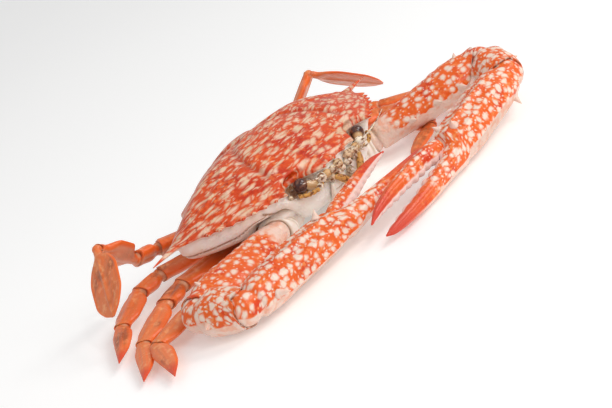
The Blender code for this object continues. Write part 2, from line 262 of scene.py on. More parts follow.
@dataclass
class Form:
    """Gathers the skins of one piece, with the marks and skin places that its finish reads."""

    name: str
    points: list[Array] = field(default_factory=list)
    faces: list[Array] = field(default_factory=list)
    skins: list[Array] = field(default_factory=list)
    marks: dict[Mark, list[Array]] = field(default_factory=lambda: {mark: [] for mark in Mark})
    count: int = 0

    def wrap(self, rings: Array, skin: Array | None = None, **marks: Array | float) -> None:
        """Adds a closed skin over rings of points, with a pole at each end.

        Args:
            rings: the points, as (rings, sides, 3).
            skin: flat places for spots, as (rings, sides, 2). Without it they come from the points.
            marks: a value or an array of (rings, sides) for any mark, by its name.
        """
        tall, sides, _ = rings.shape
        index = np.arange(tall * sides).reshape(tall, sides)
        after = np.roll(index, -1, axis=1)
        quads = np.stack((index[:-1], after[:-1], after[1:], index[1:]), axis=-1).reshape(-1, 4)
        poles = ((tall * sides, after[0], index[0]), (tall * sides + 1, index[-1], after[-1]))
        caps = [np.stack((np.full(sides, pole), a, b, np.full(sides, -1)), axis=-1) for pole, a, b in poles]
        faces = np.concatenate((quads, *caps))
        points = np.concatenate((rings.reshape(-1, 3), [rings[0].mean(axis=0)], [rings[-1].mean(axis=0)]))
        a, b, c = (points[faces[:, i]] for i in range(3))
        if np.einsum("ij,ij->", np.cross(b - a, c - a), a - points.mean(axis=0)) < 0.0:
            four = faces[:, 3:] >= 0
            faces = np.where(four, faces[:, [0, 3, 2, 1]], faces[:, [0, 2, 1, 3]])
        self.faces.append(np.where(faces >= 0, faces + self.count, -1))
        self.points.append(points)
        for mark in Mark:
            value = np.broadcast_to(marks.get(mark.value, 0.0), (tall, sides))
            self.marks[mark].append(np.concatenate((value.ravel(), [value[0].mean()], [value[-1].mean()])))
        places = rings[..., :2] if skin is None else skin
        ends = [places[0].mean(axis=0)], [places[-1].mean(axis=0)]
        self.skins.append(np.concatenate((places.reshape(-1, 2), *ends)))
        self.count += len(points)

    def spine(self, base: Array, aim: Array, radius: float, reach: float) -> None:
        """Adds a thorn with a flared foot, sunk a little into the skin that it stands on.

        Args:
            base: the middle of its foot.
            aim: the way that it points.
            radius: its foot's radius.
            reach: its length.
        """
        share = np.array((-0.25, 0.0, 0.08, 0.18, 0.32, 0.5, 0.68, 0.84, 0.95, 1.0))
        wide = np.array((1.45, 1.35, 1.08, 0.9, 0.74, 0.56, 0.38, 0.22, 0.1, 0.03))
        middles = base + unit(aim) * (share * reach)[:, None]
        self.wrap(hoops(middles, radius * wide, unit(aim), SPINE_GUIDE, 16), pale=0.75)

    def tube(self, path: Array, radius: Array, sides: int = 8, **marks: Array | float) -> None:
        """Adds a round tube along a path.

        Args:
            path: points along its middle.
            radius: its radius at each point.
            sides: how many sides it has.
            marks: a value for any mark.
        """
        self.wrap(hoops(path, radius, unit(np.gradient(path, axis=0)), TUBE_GUIDE, sides), **marks)

    def lump(self, middle: Array, half: tuple, sides: int, rough: float, **marks: float) -> None:
        """Adds a rounded lump.

        Args:
            middle: its middle.
            half: its half sizes along x, y and z.
            sides: how many sides it has.
            rough: the share by which its skin rises and falls.
            marks: a value for any mark.
        """
        polar = np.linspace(0.12, math.pi - 0.12, sides // 2 + 1)[:, None]
        turn, c, s = circle(sides)
        swell = 1.0 + rough * np.sin(3 * turn + 5 * polar) * np.sin(polar)
        way = np.stack((np.sin(polar) * c, np.sin(polar) * s, np.cos(polar) + 0 * turn), axis=-1)
        self.wrap(np.array(middle) + way * swell[..., None] * np.array(half), **marks)

    def make(self, finish: Material, slot: Slot, *nodes: str) -> None:
        """Turns the gathered skins into one piece of the crab.

        Args:
            finish: its material.
            slot: the slot for that material; not used.
            nodes: the CAD nodes that it stands for.
        """
        points, faces = np.concatenate(self.points) * MM, np.concatenate(self.faces)
        corners = faces.ravel()[faces.ravel() >= 0]
        totals = (faces >= 0).sum(axis=1)
        mesh = bpy.data.meshes.new(self.name)
        mesh.vertices.add(len(points))
        mesh.loops.add(len(corners))
        mesh.polygons.add(len(faces))
        mesh.vertices.foreach_set("co", points.ravel().astype(np.float32))
        mesh.loops.foreach_set("vertex_index", corners.astype(np.int32))
        mesh.polygons.foreach_set("loop_start", (np.cumsum(totals) - totals).astype(np.int32))
        mesh.polygons.foreach_set("loop_total", totals.astype(np.int32))
        mesh.update(calc_edges=True)
        for mark in Mark:
            layer = mesh.attributes.new(mark.value, "FLOAT", "POINT")
            layer.data.foreach_set("value", np.concatenate(self.marks[mark]).astype(np.float32))
        skin = np.concatenate(self.skins)
        layer = mesh.attributes.new("skin", "FLOAT_VECTOR", "POINT")
        layer.data.foreach_set("vector", np.column_stack((skin, 0 * skin[:, :1])).ravel().astype(np.float32))
        mesh.validate()
        mesh.shade_smooth()
        mesh.materials.append(finish)
        piece = add_object(self.name, mesh)
        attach(piece, BODY)
        if nodes:
            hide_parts(*nodes)
        log.info("%s: %d faces", self.name, len(faces))


# --- Carapace ---


@dataclass
class Carapace:
    """The broad shell: domed above, toothed and spined round its rim, with the white face below.

    A row of its skin is (flat points, heights, paleness, crease, nearness to the rim). Feet lists
    (degrees round from straight ahead, height of the skin's foot), swellings list (height, middle and
    width across, middle and width along), and grooves and ridges list (strength, width, line).
    """

    finish: Material
    radius: float = 64.0
    rear_y: float = 30.0
    centre: Pair = (0.0, 2.0)
    whorl: float = 62.0
    rim_height: float = 21.0
    dome_rise: float = 12.5
    dome_power: float = 2.2
    brim: float = 1.1
    ceiling: float = 14.6
    spacing: float = 0.56
    teeth: int = 8
    tooth_start: float = 26.0
    tooth_pitch: float = 3.75
    tooth_rise: float = 2.9
    brow: tuple = ((0.0, 0.0), (1.4, 0.3), (3.2, 1.9), (4.9, 0.4), (6.2, 0.3), (8.0, 0.7), (9.4, 2.5))
    orbit: Pair = (12.0, 27.0)
    orbit_depth: float = 5.5
    shoulder: Pair = (55.0, 1.2)
    spine: tuple = (
        ((-0.3, -2.6), (3.0, -2.4)),
        ((-0.1, -1.2), (8.0, -1.5)),
        ((0.0, 0.0), (15.6, -0.6)),
        ((-0.4, 1.4), (8.0, 0.9)),
        ((-0.8, 2.8), (2.6, 2.4)),
    )
    rear_corner: Pair = (24.0, 29.0)
    feet: tuple = (
        ((0, 5.2), (36, 5.6), (47, 13.6), (60, 13.4))
        + ((69, 9.8), (106, 9.8), (122, 12.8), (181, 12.8))
    )
    foot_share: float = 0.85
    foot_tuck: float = 0.11
    floor_shares: tuple = (0.06, 0.3, 0.52, 0.66)
    slope_shares: tuple = (0.2, 0.4, 0.6, 0.8, 0.93)
    face_rings: int = 30
    lip_rings: int = 13
    dome_shares: tuple = ((0.992, 0.9, 10), (0.885, 0.04, 44))
    socket_place: Pair = (19.0, 7.0)
    # How far the hollows behind the eyes are darkened, as painted shade.
    socket_painted_shade: float = 0.95
    flank_seam: Pair = (0.5, 0.035)
    groove_depth: float = 0.85
    ridge_height: float = 0.5
    bead_turn: float = 4.4
    swellings: tuple = ((0.9, 0, 15, -8, 9), (0.9, 0, 7, 14, 8), (0.9, 29, 12, 6, 9), (0.6, 30, 9, -13, 6))
    grooves: tuple = (
        (1.0, 1.5, ((5.0, 3.5), (12.0, 1.0), (17.0, -5.0), (21.0, -12.0), (23.0, -20.0))),
        (1.0, 1.4, ((5.0, 3.5), (8.5, 8.0), (9.5, 15.0), (12.0, 22.0))),
        (0.55, 1.2, ((14.0, 24.0), (24.0, 22.0))),
    )
    ridges: tuple = (
        (1.0, 0.75, ((52.0, -0.5), (42.0, -4.6), (32.0, -5.4), (23.0, -2.0))),
        (0.8, 0.6, ((2.0, -12.6), (7.0, -13.4), (12.5, -12.2))),
        (0.8, 0.6, ((1.5, -3.6), (6.0, -4.4), (10.5, -3.4))),
    )
    face_line: tuple = ((34.0, 6.0), (30.5, 10.0), (31.5, 14.0), (36.0, 17.4))
    inset: tuple = ((0, 0.3, 0.6, 0.85, 1.0), (0, 0.02, 0.14, 0.5, 1.0))

    def __post_init__(self) -> None:
        """Works out the rim and what hangs from it."""
        self.edge, self.tip, self.plain, self.soft = self.outline()
        x, y = self.plain.T
        self.swing = np.abs(np.degrees(np.arctan2(x, self.centre[1] - y)))
        self.foot = self.foot_share - self.foot_tuck * smooth((self.swing - 32.0) / 14.0)
        socket_x, socket_half = self.socket_place
        self.socket = np.exp(-(((np.abs(x) - socket_x) / socket_half) ** 4)) * (y < 0)
        low = np.zeros(len(x))
        for (a, before), (b, after) in zip(self.feet, self.feet[1:]):
            part = (self.swing >= a) & (self.swing <= b)
            low = np.where(part, before + (after - before) * smooth((self.swing - a) / (b - a)), low)
        self.low = self.soften(low[:, None], 12)[:, 0]

    def arc(self, degrees: float, outward: float = 0.0) -> Array:
        """A point of the front edge's arc, at an angle from straight ahead."""
        turn, reach = math.radians(degrees), self.radius + outward
        return np.array((reach * math.sin(turn), self.rear_y - reach * math.cos(turn)))

    def front(self, x: float) -> Array:
        """A point of the front edge, so far across."""
        return self.arc(math.degrees(math.asin(x / self.radius)), -1.0)

    def half_rows(self) -> list[tuple[Array, Array, Array, bool]]:
        """Follows the rim down the left side, from the middle of the front to the middle of the rear.

        Returns:
            Rows of (edge, tooth tip, edge without the eye notch, sharp).
        """
        rows = []
        for x, rise in self.brow:
            edge = self.front(x)
            rows.append((edge, edge - (0.0, rise), edge, rise > 1.0))
        inner, outer = self.orbit
        for share in np.linspace(0.02, 0.92, 10):
            plain = self.front(inner + share * (outer - inner))
            edge = plain + (0.0, self.orbit_depth * math.sin(math.pi * share))
            rows.append((edge, edge - (0.0, 0.3), plain, False))
        for tooth in range(self.teeth):
            turn, pitch = self.tooth_start + tooth * self.tooth_pitch, self.tooth_pitch
            edge, valley = self.arc(turn), self.arc(turn + 0.5 * pitch)
            rows.append((edge, self.arc(turn - 0.25 * pitch, self.tooth_rise), edge, True))
            rows.append((valley, self.arc(turn + 0.42 * pitch, 0.4), valley, False))
        shoulder = np.array(self.shoulder)
        for back, out in self.spine:
            rows.append((shoulder + back, shoulder + out, shoulder + back, back == (0.0, 0.0)))
        start = shoulder + (-1.6, 4.6)
        for share in np.arange(1, 13) / 12:
            edge = start + (self.rear_corner - start) * share - 2.4 * math.sin(math.pi * share) / math.sqrt(2)
            rows.append((edge, edge + 0.15, edge, False))
        for x in (18.0, 12.0, 6.0, 0.0):
            edge = np.array((x, self.rear_y + 1.0))
            rows.append((edge, edge + (0.0, 0.3), edge, False))
        return rows

    def outline(self) -> tuple[Array, ...]:
        """The rim all the way round.

        Returns:
            Edge points, tooth tips, edge points without the eye notches, and the soft outline of the dome.
        """
        rows = self.half_rows()
        lines, sharp = [[], [], []], []
        for near, far in zip(rows, rows[1:]):
            steps = max(1, round(float(np.linalg.norm(far[1] - near[1])) / self.spacing))
            for step in range(steps):
                for line, a, b in zip(lines, near, far):
                    line.append(a + (b - a) * step / steps)
                sharp.append(near[3] and step == 0)
        for line, last in zip(lines, rows[-1]):
            line.append(last)
        sharp.append(False)
        keep = np.array(sharp + sharp[-2:0:-1])[:, None]
        halves = [np.array(line) for line in lines]
        edge, tip, plain = (np.concatenate((half, half[-2:0:-1] * (-1.0, 1.0))) for half in halves)
        return self.soften(edge, 10), self.soften(tip, 4, keep), plain, self.soften(plain, 260)

    @staticmethod
    def soften(line: Array, passes: int, keep: Array | bool = False) -> Array:
        """Evens out a closed line.

        Args:
            line: its points.
            passes: how many times it is evened.
            keep: which points stay where they are.

        Returns:
            The evened points.
        """
        for _ in range(passes):
            even = (np.roll(line, 1, axis=0) + 2 * line + np.roll(line, -1, axis=0)) / 4
            line = np.where(keep, line, even)
        return line

    def rim(self, y: Array) -> Array:
        """The rim's height, which dips towards the front and more towards the rear."""
        ahead = self.rim_height - 1.2 * smooth(-y / 33.0)
        return np.where(y < 0.0, ahead, self.rim_height - 4.0 * smooth(y / self.rear_y))

    def toward(self, line: Array, share: Array | float) -> Array:
        """The line drawn in towards the shell's middle, to a share of its reach."""
        return self.centre + (line - self.centre) * np.reshape(share, (-1, 1))

    def relief(self, x: Array, y: Array) -> tuple[Array, Array]:
        """The dome's swellings, grooves and ridges.

        Args:
            x: places across the crab.
            y: places along it.

        Returns:
            How far the dome stands above its plain shape, and how deep it lies in a groove.
        """
        across = np.abs(x)
        rise = sum(high * hill(across, mx, wx) * hill(y, my, wy) for high, mx, wx, my, wy in self.swellings)
        groove, ridge = (
            np.max([deep * hill(off_line(across, y, line), 0, width) for deep, width, line in lines], axis=0)
            for lines in (self.grooves, self.ridges)
        )
        beads = 0.6 + 0.4 * np.sin(across * self.bead_turn) ** 2
        return rise - self.groove_depth * groove + self.ridge_height * ridge * beads, groove

    def under_rows(self) -> list[tuple]:
        """Goes under the shell, from its middle out to the foot of its face.

        Returns:
            The rows.
        """
        # The faint crease mark under the shell darkens it a little, as painted shade beneath the brim.
        marks = (1.0, 0.1, 0.0)
        rows = [(self.toward(self.plain, share), self.ceiling, *marks) for share in self.floor_shares]
        inner = self.floor_shares[-1]
        for share in self.slope_shares:
            z = self.ceiling + (self.low - self.ceiling) * share**1.6
            rows.append((self.toward(self.plain, inner + (self.foot - inner) * share), z, *marks))
        return rows

    def face_rows(self) -> list[tuple]:
        """Goes up the white face and flanks, with their creases and the hollows behind the eyes. The crease
        mark darkens the hollows as painted shade, and the creases partly as seam colour and partly as painted
        shade.

        Returns:
            The rows.
        """
        rows = []
        across, ahead = np.abs(self.plain[:, 0]), self.plain[:, 1] < 0
        level = self.rim(self.plain[:, 1])
        flank = smooth((self.swing - 50.0) / 8.0) * smooth((122.0 - self.swing) / 10.0)
        knots, depths = np.array(self.inset)
        for down in np.linspace(1.0, 0.02, self.face_rings):
            notch = 1.0 - smooth((down - 0.16) / 0.12)
            line = self.soften(self.plain + (self.edge - self.plain) * notch, 6)
            flat = self.toward(line, 1.0 - (1.0 - self.foot) * float(flow(knots, depths, down)))
            z = level - self.brim + (self.low - level + self.brim) * down
            seam = hill(down, *self.flank_seam) * flank
            off = off_line(across, z, self.face_line)
            # The crease mark darkens the hollows behind the eyes as painted shade, and the face line and
            # flank seam partly as seam colour and partly as painted shade.
            hollow = self.socket_painted_shade * self.socket * (1.0 - smooth((down - 0.22) / 0.14))
            dark = np.max([hill(off, 0, 0.55) * ahead, hollow, seam], axis=0)
            sunk = 0.35 * hill(off, 0, 0.8) * ahead + 0.4 * seam
            flat = flat - unit(flat - self.centre) * sunk[:, None]
            rows.append((flat, z, 1.0, dark, smooth((0.16 - down) / 0.14)))
        return rows

    def lip_rows(self) -> list[tuple]:
        """Goes round the rim, which bulges out into its teeth.

        Returns:
            The rows.
        """
        rows = []
        for turn in np.linspace(-1.0, 1.0, self.lip_rings):
            flat = self.edge + (self.tip - self.edge) * (1.0 - abs(turn) ** 1.7)
            z = self.rim(self.edge[:, 1]) + self.brim * turn
            # Below the rim, the socket's crease mark darkens the eye hollows as painted shade.
            rows.append((flat, z, smooth((0.1 - turn) / 0.6), self.socket * (turn < 0), 1.0))
        return rows

    def dome_rows(self) -> list[tuple]:
        """Goes up the dome, with its rows close together by the rim.

        Returns:
            The rows.
        """
        rows = []
        for share in np.concatenate([np.linspace(*shares) for shares in self.dome_shares]):
            line = self.soft + (self.edge - self.soft) * smooth((share - 0.88) / 0.12)
            flat = self.toward(line, share)
            bump, groove = self.relief(*flat.T)
            z = self.rim(line[:, 1]) * share + self.rim_height * (1 - share) + self.brim
            z = z + self.dome_rise * (1.0 - share**self.dome_power) + bump * smooth((1.0 - share) / 0.1)
            # Half the groove depth goes to the crease mark, which darkens the grooves partly as stain and
            # partly as painted shade.
            rows.append((flat, z, 0.0, groove * 0.5, smooth((share - 0.93) / 0.06)))
        return rows

    def build(self) -> None:
        """Skins the shell from the middle of its underside, round the rim, to the top of the dome."""
        rows = self.under_rows() + self.face_rows() + self.lip_rows() + self.dome_rows()
        count = len(self.plain)
        rings = np.array([np.column_stack((flat, np.broadcast_to(z, count))) for flat, z, *_ in rows])
        pale, crease, edge = (np.array([np.broadcast_to(row[i], count) for row in rows]) for i in (2, 3, 4))
        aside, ahead = rings[..., 0], self.whorl - rings[..., 1]
        skin = np.stack((np.arctan2(aside, ahead) * self.whorl, np.hypot(aside, ahead)), axis=-1)
        form = Form("carapace_shell")
        form.wrap(rings, skin, pale=pale, crease=crease, edge=edge)
        form.make(self.finish, Slot.SHELL, "carapace")


# --- Limbs ---


def heading(side: int, forward: float, rise: float) -> Array:
    """The way that a limb piece points.

    Args:
        side: 1 on the left, -1 on the right.
        forward: degrees forward of straight out sideways.
        rise: degrees above level.

    Returns:
        A vector at length one.
    """
    turn, lift = math.radians(forward), math.radians(rise)
    level = math.cos(lift)
    return np.array((side * level * math.cos(turn), -level * math.sin(turn), math.sin(lift)))


def frame_of(axis: Array, side: int, roll: float) -> tuple[Array, Array]:
    """The wide and narrow directions of a limb piece, square to the way that it points.

    Args:
        axis: the way that it points.
        side: 1 on the left, -1 on the right.
        roll: degrees that it is turned by. At a quarter turn wide is level and narrow is up.

    Returns:
        (wide, narrow).
    """
    up = unit(np.array((0.0, 0.0, 1.0)) - axis * axis[2])
    across = np.cross(axis, up) * side
    turn = math.radians(roll)
    wide = up * math.cos(turn) + across * math.sin(turn)
    return wide, np.cross(wide, axis) * side


@dataclass(frozen=True)
class Thorn:
    """A spine on a limb piece: its place along and round the piece, its foot and its reach."""

    along: float
    turn: float
    radius: float
    reach: float


@dataclass(frozen=True)
class Link:
    """One piece of a limb, from the ball at its root to the cup or the tip at its end.

    The profile lists (share of the length, half width, half thickness, sideways shift).
    """

    name: str
    length: float
    ball: float
    profile: tuple
    forward: float
    rise: float
    section: Section = Section.ROUND
    roll: float = 90.0
    flat: float = 1.0
    blunt: bool = False
    thorns: tuple[Thorn, ...] = ()
    sides: int = 56
    step: float = 0.8
    pale: Pair = (-0.3, 0.25)

    def shape(self, turn: Array, share: Array) -> tuple[Array, Array, dict[str, Array]]:
        """The cross section's form.

        Args:
            turn: angles round the piece, from its wide direction.
            share: shares of the length.

        Returns:
            Factors on the half width and half thickness, and the marks that follow the form.
        """
        c, s = np.cos(turn), np.sin(turn)
        ends = smooth((share - 0.08) / 0.14) * smooth((1.0 - share) / 0.16)
        grow = np.ones_like(turn * share)
        marks: dict[str, Array] = {}
        if self.section is Section.ARM:
            grow = grow + ends * (0.075 * np.cos(3 * turn) + 0.05 * hill(c, 1.0, 0.05))
            grow = grow + 0.022 * ends * np.sin(share * 61) * np.sin(4 * turn + 9 * share)
            marks["pale"] = 0.8 * smooth((0.36 - share) / 0.3) + 0 * turn
        elif self.section is Section.WRIST:
            grow = grow + ends * 0.045 * ribs(turn, (20, 75, 130, 200, 310), 0.035)
            grow = grow + 0.03 * ends * np.sin(5 * turn + 1.1) * np.sin(7 * share)
        elif self.section is Section.PALM:
            keels = ribs(turn + np.radians(10 * share), (14, 62, 104, 150, 205, 262, 318), 0.015, 0.22)
            beads = 0.075 + 0.035 * np.sin(share * 250) ** 2
            grow = grow + beads * ends * smooth((0.56 - share) / 0.12) * keels
            past = smooth((share - 0.5) / 0.06)
            grow = grow - 0.10 * past * ribs(turn, (90, 140, 220, 270), 0.03)
            bite = past * (share < 0.985) * np.exp(-((1 - c) / 0.12))
            grow = grow + bite * self.teeth(share, 0.52, 0.98, 9, 0.42)
            marks["tooth"] = smooth(bite * 1.6)
            marks["tip"] = smooth((share - 0.62) / 0.4)
            inner = smooth((c - 0.3) / 0.6)
            marks["pale"] = 0.56 * inner * smooth((share - 0.02) / 0.3) * smooth((0.56 - share) / 0.3)
        elif self.section is Section.FINGER:
            grow = grow - 0.11 * ends * ribs(turn, (40, 90, 140, 220, 270, 320), 0.028)
            bite = np.exp(-((1 + c) / 0.12)) * (share < 0.97)
            grow = grow + bite * self.teeth(share, 0.08, 0.96, 10, 0.36)
            marks["tooth"] = smooth(bite * 1.6)
            marks["tip"] = smooth((share - 0.35) / 0.65)
        elif self.section in (Section.LEG, Section.SPEAR):
            power = 2.0 - 0.42 * ends
            grow = (np.abs(c) ** power + np.abs(s) ** power) ** (-1.0 / power)
            for lane in (-0.42, 0.42):
                grow = grow - 0.13 * ends * hill(c, lane, 0.13) * np.abs(s)
            if self.section is Section.SPEAR:
                grow = grow - 0.12 * ends * hill(c, 0.0, 0.1) * np.abs(s)
                marks["tip"] = smooth((share - 0.5) / 0.5)
            marks["edge"] = smooth((np.abs(c) - 0.72) / 0.22) * np.ones_like(grow)
        elif self.section is Section.PADDLE:
            leaf, off = smooth((share - 0.14) / 0.14), np.abs(c)
            thin = 0.62 + 0.5 * hill(off, 0.93, 0.07) + 0.5 * hill(c, 0.0, 0.08) - 0.14 * hill(off, 0.8, 0.06)
            veins = 0.10 * np.sin(26 * share + 9 * off) * hill(off, 0.45, 0.3)
            marks["edge"] = smooth((off - 0.8) / 0.15) * leaf
            return grow, 1.0 + leaf * (thin + veins - 1.0), marks
        else:
            fold = hill(share, 0.46 + 0.12 * c, 0.05) + hill(share, 0.74 + 0.08 * np.sin(turn + 1.0), 0.035)
            fold = fold * smooth(0.35 + 0.9 * np.sin(turn + 0.6))
            swell = 0.09 * np.cos(2 * turn + 0.8) + 0.06 * np.cos(3 * turn + 0.5)
            grow = grow + ends * (swell - 0.05 * fold)
            marks["crease"] = 0.8 * fold
        return grow, grow, marks

    @staticmethod
    def teeth(share: Array, start: float, stop: float, count: int, rise: float) -> Array:
        """Blunt cutting teeth of mixed sizes along a finger.

        Args:
            share: shares of the length.
            start: where the first tooth begins.
            stop: where the last one ends.
            count: how many there are.
            rise: how far the largest stands out, as a share of the finger's half width.

        Returns:
            How far they stand out at each share.
        """
        place = (share - start) / (stop - start) * count
        whole = np.floor(place)
        size = 0.45 + 0.55 * np.abs(np.sin(whole * 2.3 + 0.7))
        lobe = 1.0 - np.abs(2.0 * (place - whole) - 1.0) ** 1.8
        return np.where((share > start) & (share < stop), rise * size * lobe, 0.0)

    def ends_at(self, table: Array, following: Link, bend: float) -> tuple[Array, float, float, float]:
        """Extends the profile so that its rim can clasp the next piece's ball.

        Args:
            table: rows of (place, half width, half thickness, shift).
            following: the piece whose ball is clasped.
            bend: degrees that it turns away by.

        Returns:
            The longer table, how far the plain rim stands back from the ball's middle, how much further the
            clasp may reach, and the cup's radius.
        """
        cup = following.ball + GAP
        step = following.ball * (0.25 + 0.6 * float(smooth((bend - 35.0) / 45.0)))
        reach = step + CLASP * following.ball
        _, wide, thick, shift = table[-1]
        rows = []
        for share in np.linspace(0.0, 1.0, 6):
            behind = step - share * reach
            ball = math.sqrt(cup**2 - behind**2) + CLASP * following.ball
            ease = float(smooth(share * 0.8 + 0.2))
            pairs = ((wide, ball), (thick, ball * following.flat))
            sizes = [max(near + (far - near) * ease, far) for near, far in pairs]
            rows.append((self.length - behind, *sizes, shift * (1.0 - ease)))
        return np.concatenate((table, rows)), step, reach, cup

    def skin(
        self, form: Form, start: Array, side: int, before: Array | None, following: Link | None
    ) -> Array:
        """Adds this piece to a form.

        Args:
            form: the form that takes the skin.
            start: the middle of its root ball.
            side: 1 on the left, -1 on the right.
            before: the way that the piece before points, if any.
            following: the piece that turns in its end, if any.

        Returns:
            Where the next piece starts.
        """
        axis = heading(side, self.forward, self.rise)
        wide, narrow = frame_of(axis, side, self.roll)
        upright = math.atan2(DORSAL @ narrow, DORSAL @ wide)
        turn = (upright + math.pi + circle(self.sides)[0])[None]
        c, s = np.cos(turn), np.sin(turn)

        def facing(way: Array) -> Array:
            """How far each turn round the piece faces a way."""
            return c * (wide @ way) + s * (narrow @ way)

        table = np.array([(share * self.length, *sizes) for share, *sizes in self.profile], dtype=float)
        if not self.blunt:
            ball = self.ball * math.sin(math.radians(60))
            table = np.concatenate(([(self.ball * 0.5, ball, ball * self.flat, 0.0)], table))
        stop = np.full_like(turn, table[-1, 0])
        if following:
            onward = heading(side, following.forward, following.rise)
            bend = math.degrees(math.acos(float(np.clip(axis @ onward, -1, 1))))
            table, step, reach, cup = self.ends_at(table, following, bend)
            clasp = np.maximum(np.abs(s) ** 2.2, smooth(facing(axis - onward) * 1.3))
            stop = self.length - step + reach * clasp
        count = max(12, round((float(stop.max()) - table[0, 0]) / self.step))
        spread = np.linspace(0.0, 1.0, count)[:, None]
        spread = spread - 0.06 * np.sin(2 * math.pi * spread)
        near = float(stop.min())
        along = table[0, 0] + (near - table[0, 0]) * spread + (stop - near) * smooth((spread - 0.78) / 0.22)
        half_wide, half_thick, shift = (flow(table[:, 0], table[:, column], along) for column in (1, 2, 3))
        grow_wide, grow_thick, marks = self.shape(turn, along / self.length)
        if before is not None:
            throat = float(table[1, 0])
            outer = smooth(0.3 + 0.9 * facing(before - axis))
            filled = 1.0 + 0.2 * outer * hill(along, 0.75 * throat, 0.6 * throat)
            grow_wide, grow_thick = grow_wide * filled, grow_thick * filled
        parts = [(along, half_wide * grow_wide, half_thick * grow_thick, shift)]
        if self.blunt:
            turns = np.array(BLUNT_TURNS)[:, None] + 0 * turn
            place, *sizes, aside = (part[0] for part in parts[0])
            sizes = (size * np.cos(turns) for size in sizes)
            dome = (place - BLUNT_RISE * np.sin(turns), *sizes, aside + 0 * turns)
        else:
            grown = self.ball + 0.3
            turns = np.radians(BALL_TURNS)[:, None] + 0 * turn
            swell = grown * np.sin(turns)
            dome = (grown * np.cos(turns), swell, swell * self.flat, 0 * turns)
        parts.insert(0, dome)
        if following:
            flat = (following.ball * following.flat + GAP) / cup
            turns = np.arccos(np.clip((self.length - stop) / cup, -1, 1)) * np.array(CUP_TURNS)[:, None]
            hollow = cup * np.sin(turns)
            parts.append((self.length - cup * np.cos(turns), hollow, hollow * flat, 0 * turns))
        along, half_wide, half_thick, shift = (np.concatenate([part[i] for part in parts]) for i in range(4))
        offset = (shift + half_wide * c)[..., None] * wide + (half_thick * s)[..., None] * narrow
        rings = start + axis * along[..., None] + offset
        lead, trail = len(dome[0]), len(CUP_TURNS) if following else 0
        marks = {key: np.pad(value, ((lead, trail), (0, 0)), mode="edge") for key, value in marks.items()}
        inside, root = np.zeros_like(along), np.zeros_like(along)
        # The inside of the cup and the outer edge of its rim carry the crease mark, which the finish paints
        # dark: painted shade in the joint's recess.
        if following:
            inside[-trail:] = 1.0
            inside = np.maximum(inside, 0.3 * smooth((along - stop + 0.4) / 0.4) * (along > near - 1.0))
        # The band where the ball goes into the cup before is darkened as painted shade too; the root mark
        # itself is pale joint skin.
        if before is not None:
            inner = smooth((facing(unit(axis - before)) - 0.1) / 0.6)
            root = hill(along, 0.35 * self.ball, 0.5 * self.ball) * inner
            inside = np.maximum(inside, 0.8 * root * hill(along, 0.9 * self.ball, 0.2 * self.ball))
        marks["crease"] = np.maximum(inside, marks.get("crease", 0.0))
        marks["pale"] = np.maximum(pale_side(rings, *self.pale), marks.get("pale", 0.0))
        form.wrap(rings, self.places(rings, along, form.name), root=root, **marks)
        for thorn in self.thorns:
            angle, place = math.radians(thorn.turn), np.array(thorn.along)
            across, over, moved = (float(flow(table[:, 0], table[:, i], place)) for i in (1, 2, 3))
            out = unit(wide * math.cos(angle) * over + narrow * math.sin(angle) * across)
            foot = wide * (moved + across * math.cos(angle)) + narrow * over * math.sin(angle)
            foot = start + axis * thorn.along + foot - out * FOOT_SUNK
            form.spine(foot, out + axis * THORN_LEAN, thorn.radius, thorn.reach)
        return start + axis * self.length

    def places(self, rings: Array, along: Array, name: str) -> Array:
        """Flat places for spots: the way along the piece, and the way round it from the middle of its back.

        Args:
            rings: the skin's points.
            along: how far along the piece each point is.
            name: the piece's name, which moves its spots on from those of the others.

        Returns:
            The places, as (rings, sides, 2).
        """
        around = np.linalg.norm(rings - np.roll(rings, 1, axis=1), axis=-1)
        around[:, 0] = 0.0
        arc = np.cumsum(around, axis=1)
        for _ in range(ARC_PASSES):
            arc[1:-1] = (arc[:-2] + 2 * arc[1:-1] + arc[2:]) / 4
        arc = arc - arc[:, self.sides // 2][:, None]
        return np.stack((along + sum(ord(letter) for letter in name) * 7.3, arc), axis=-1)


@dataclass
class Limb:
    """A chain of limb pieces, each in the cup of the one before.

    Finishes hold the material of each piece by its name, with "" for the rest.
    """

    prefix: str
    root: Array
    side: int
    links: list[Link]
    finishes: dict[str, Material]
    slot: Slot

    def build(self) -> None:
        """Builds every piece from the root outwards."""
        start, before = self.root, None
        for link, following in zip(self.links, [*self.links[1:], None]):
            node = f"{self.prefix}_{SIDES[self.side]}_{link.name}"
            form = Form(f"{node}_shell")
            start = link.skin(form, start, self.side, before, following)
            before = heading(self.side, link.forward, link.rise)
            form.make(self.finishes.get(link.name, self.finishes[""]), self.slot, node)


@dataclass(frozen=True)
class ClawPose:
    """How a claw lies: each piece as (forward, rise), the palm's roll and how far its finger opens."""

    base: Pair
    arm: Pair
    wrist: Pair
    palm: Pair
    roll: float
    opening: float


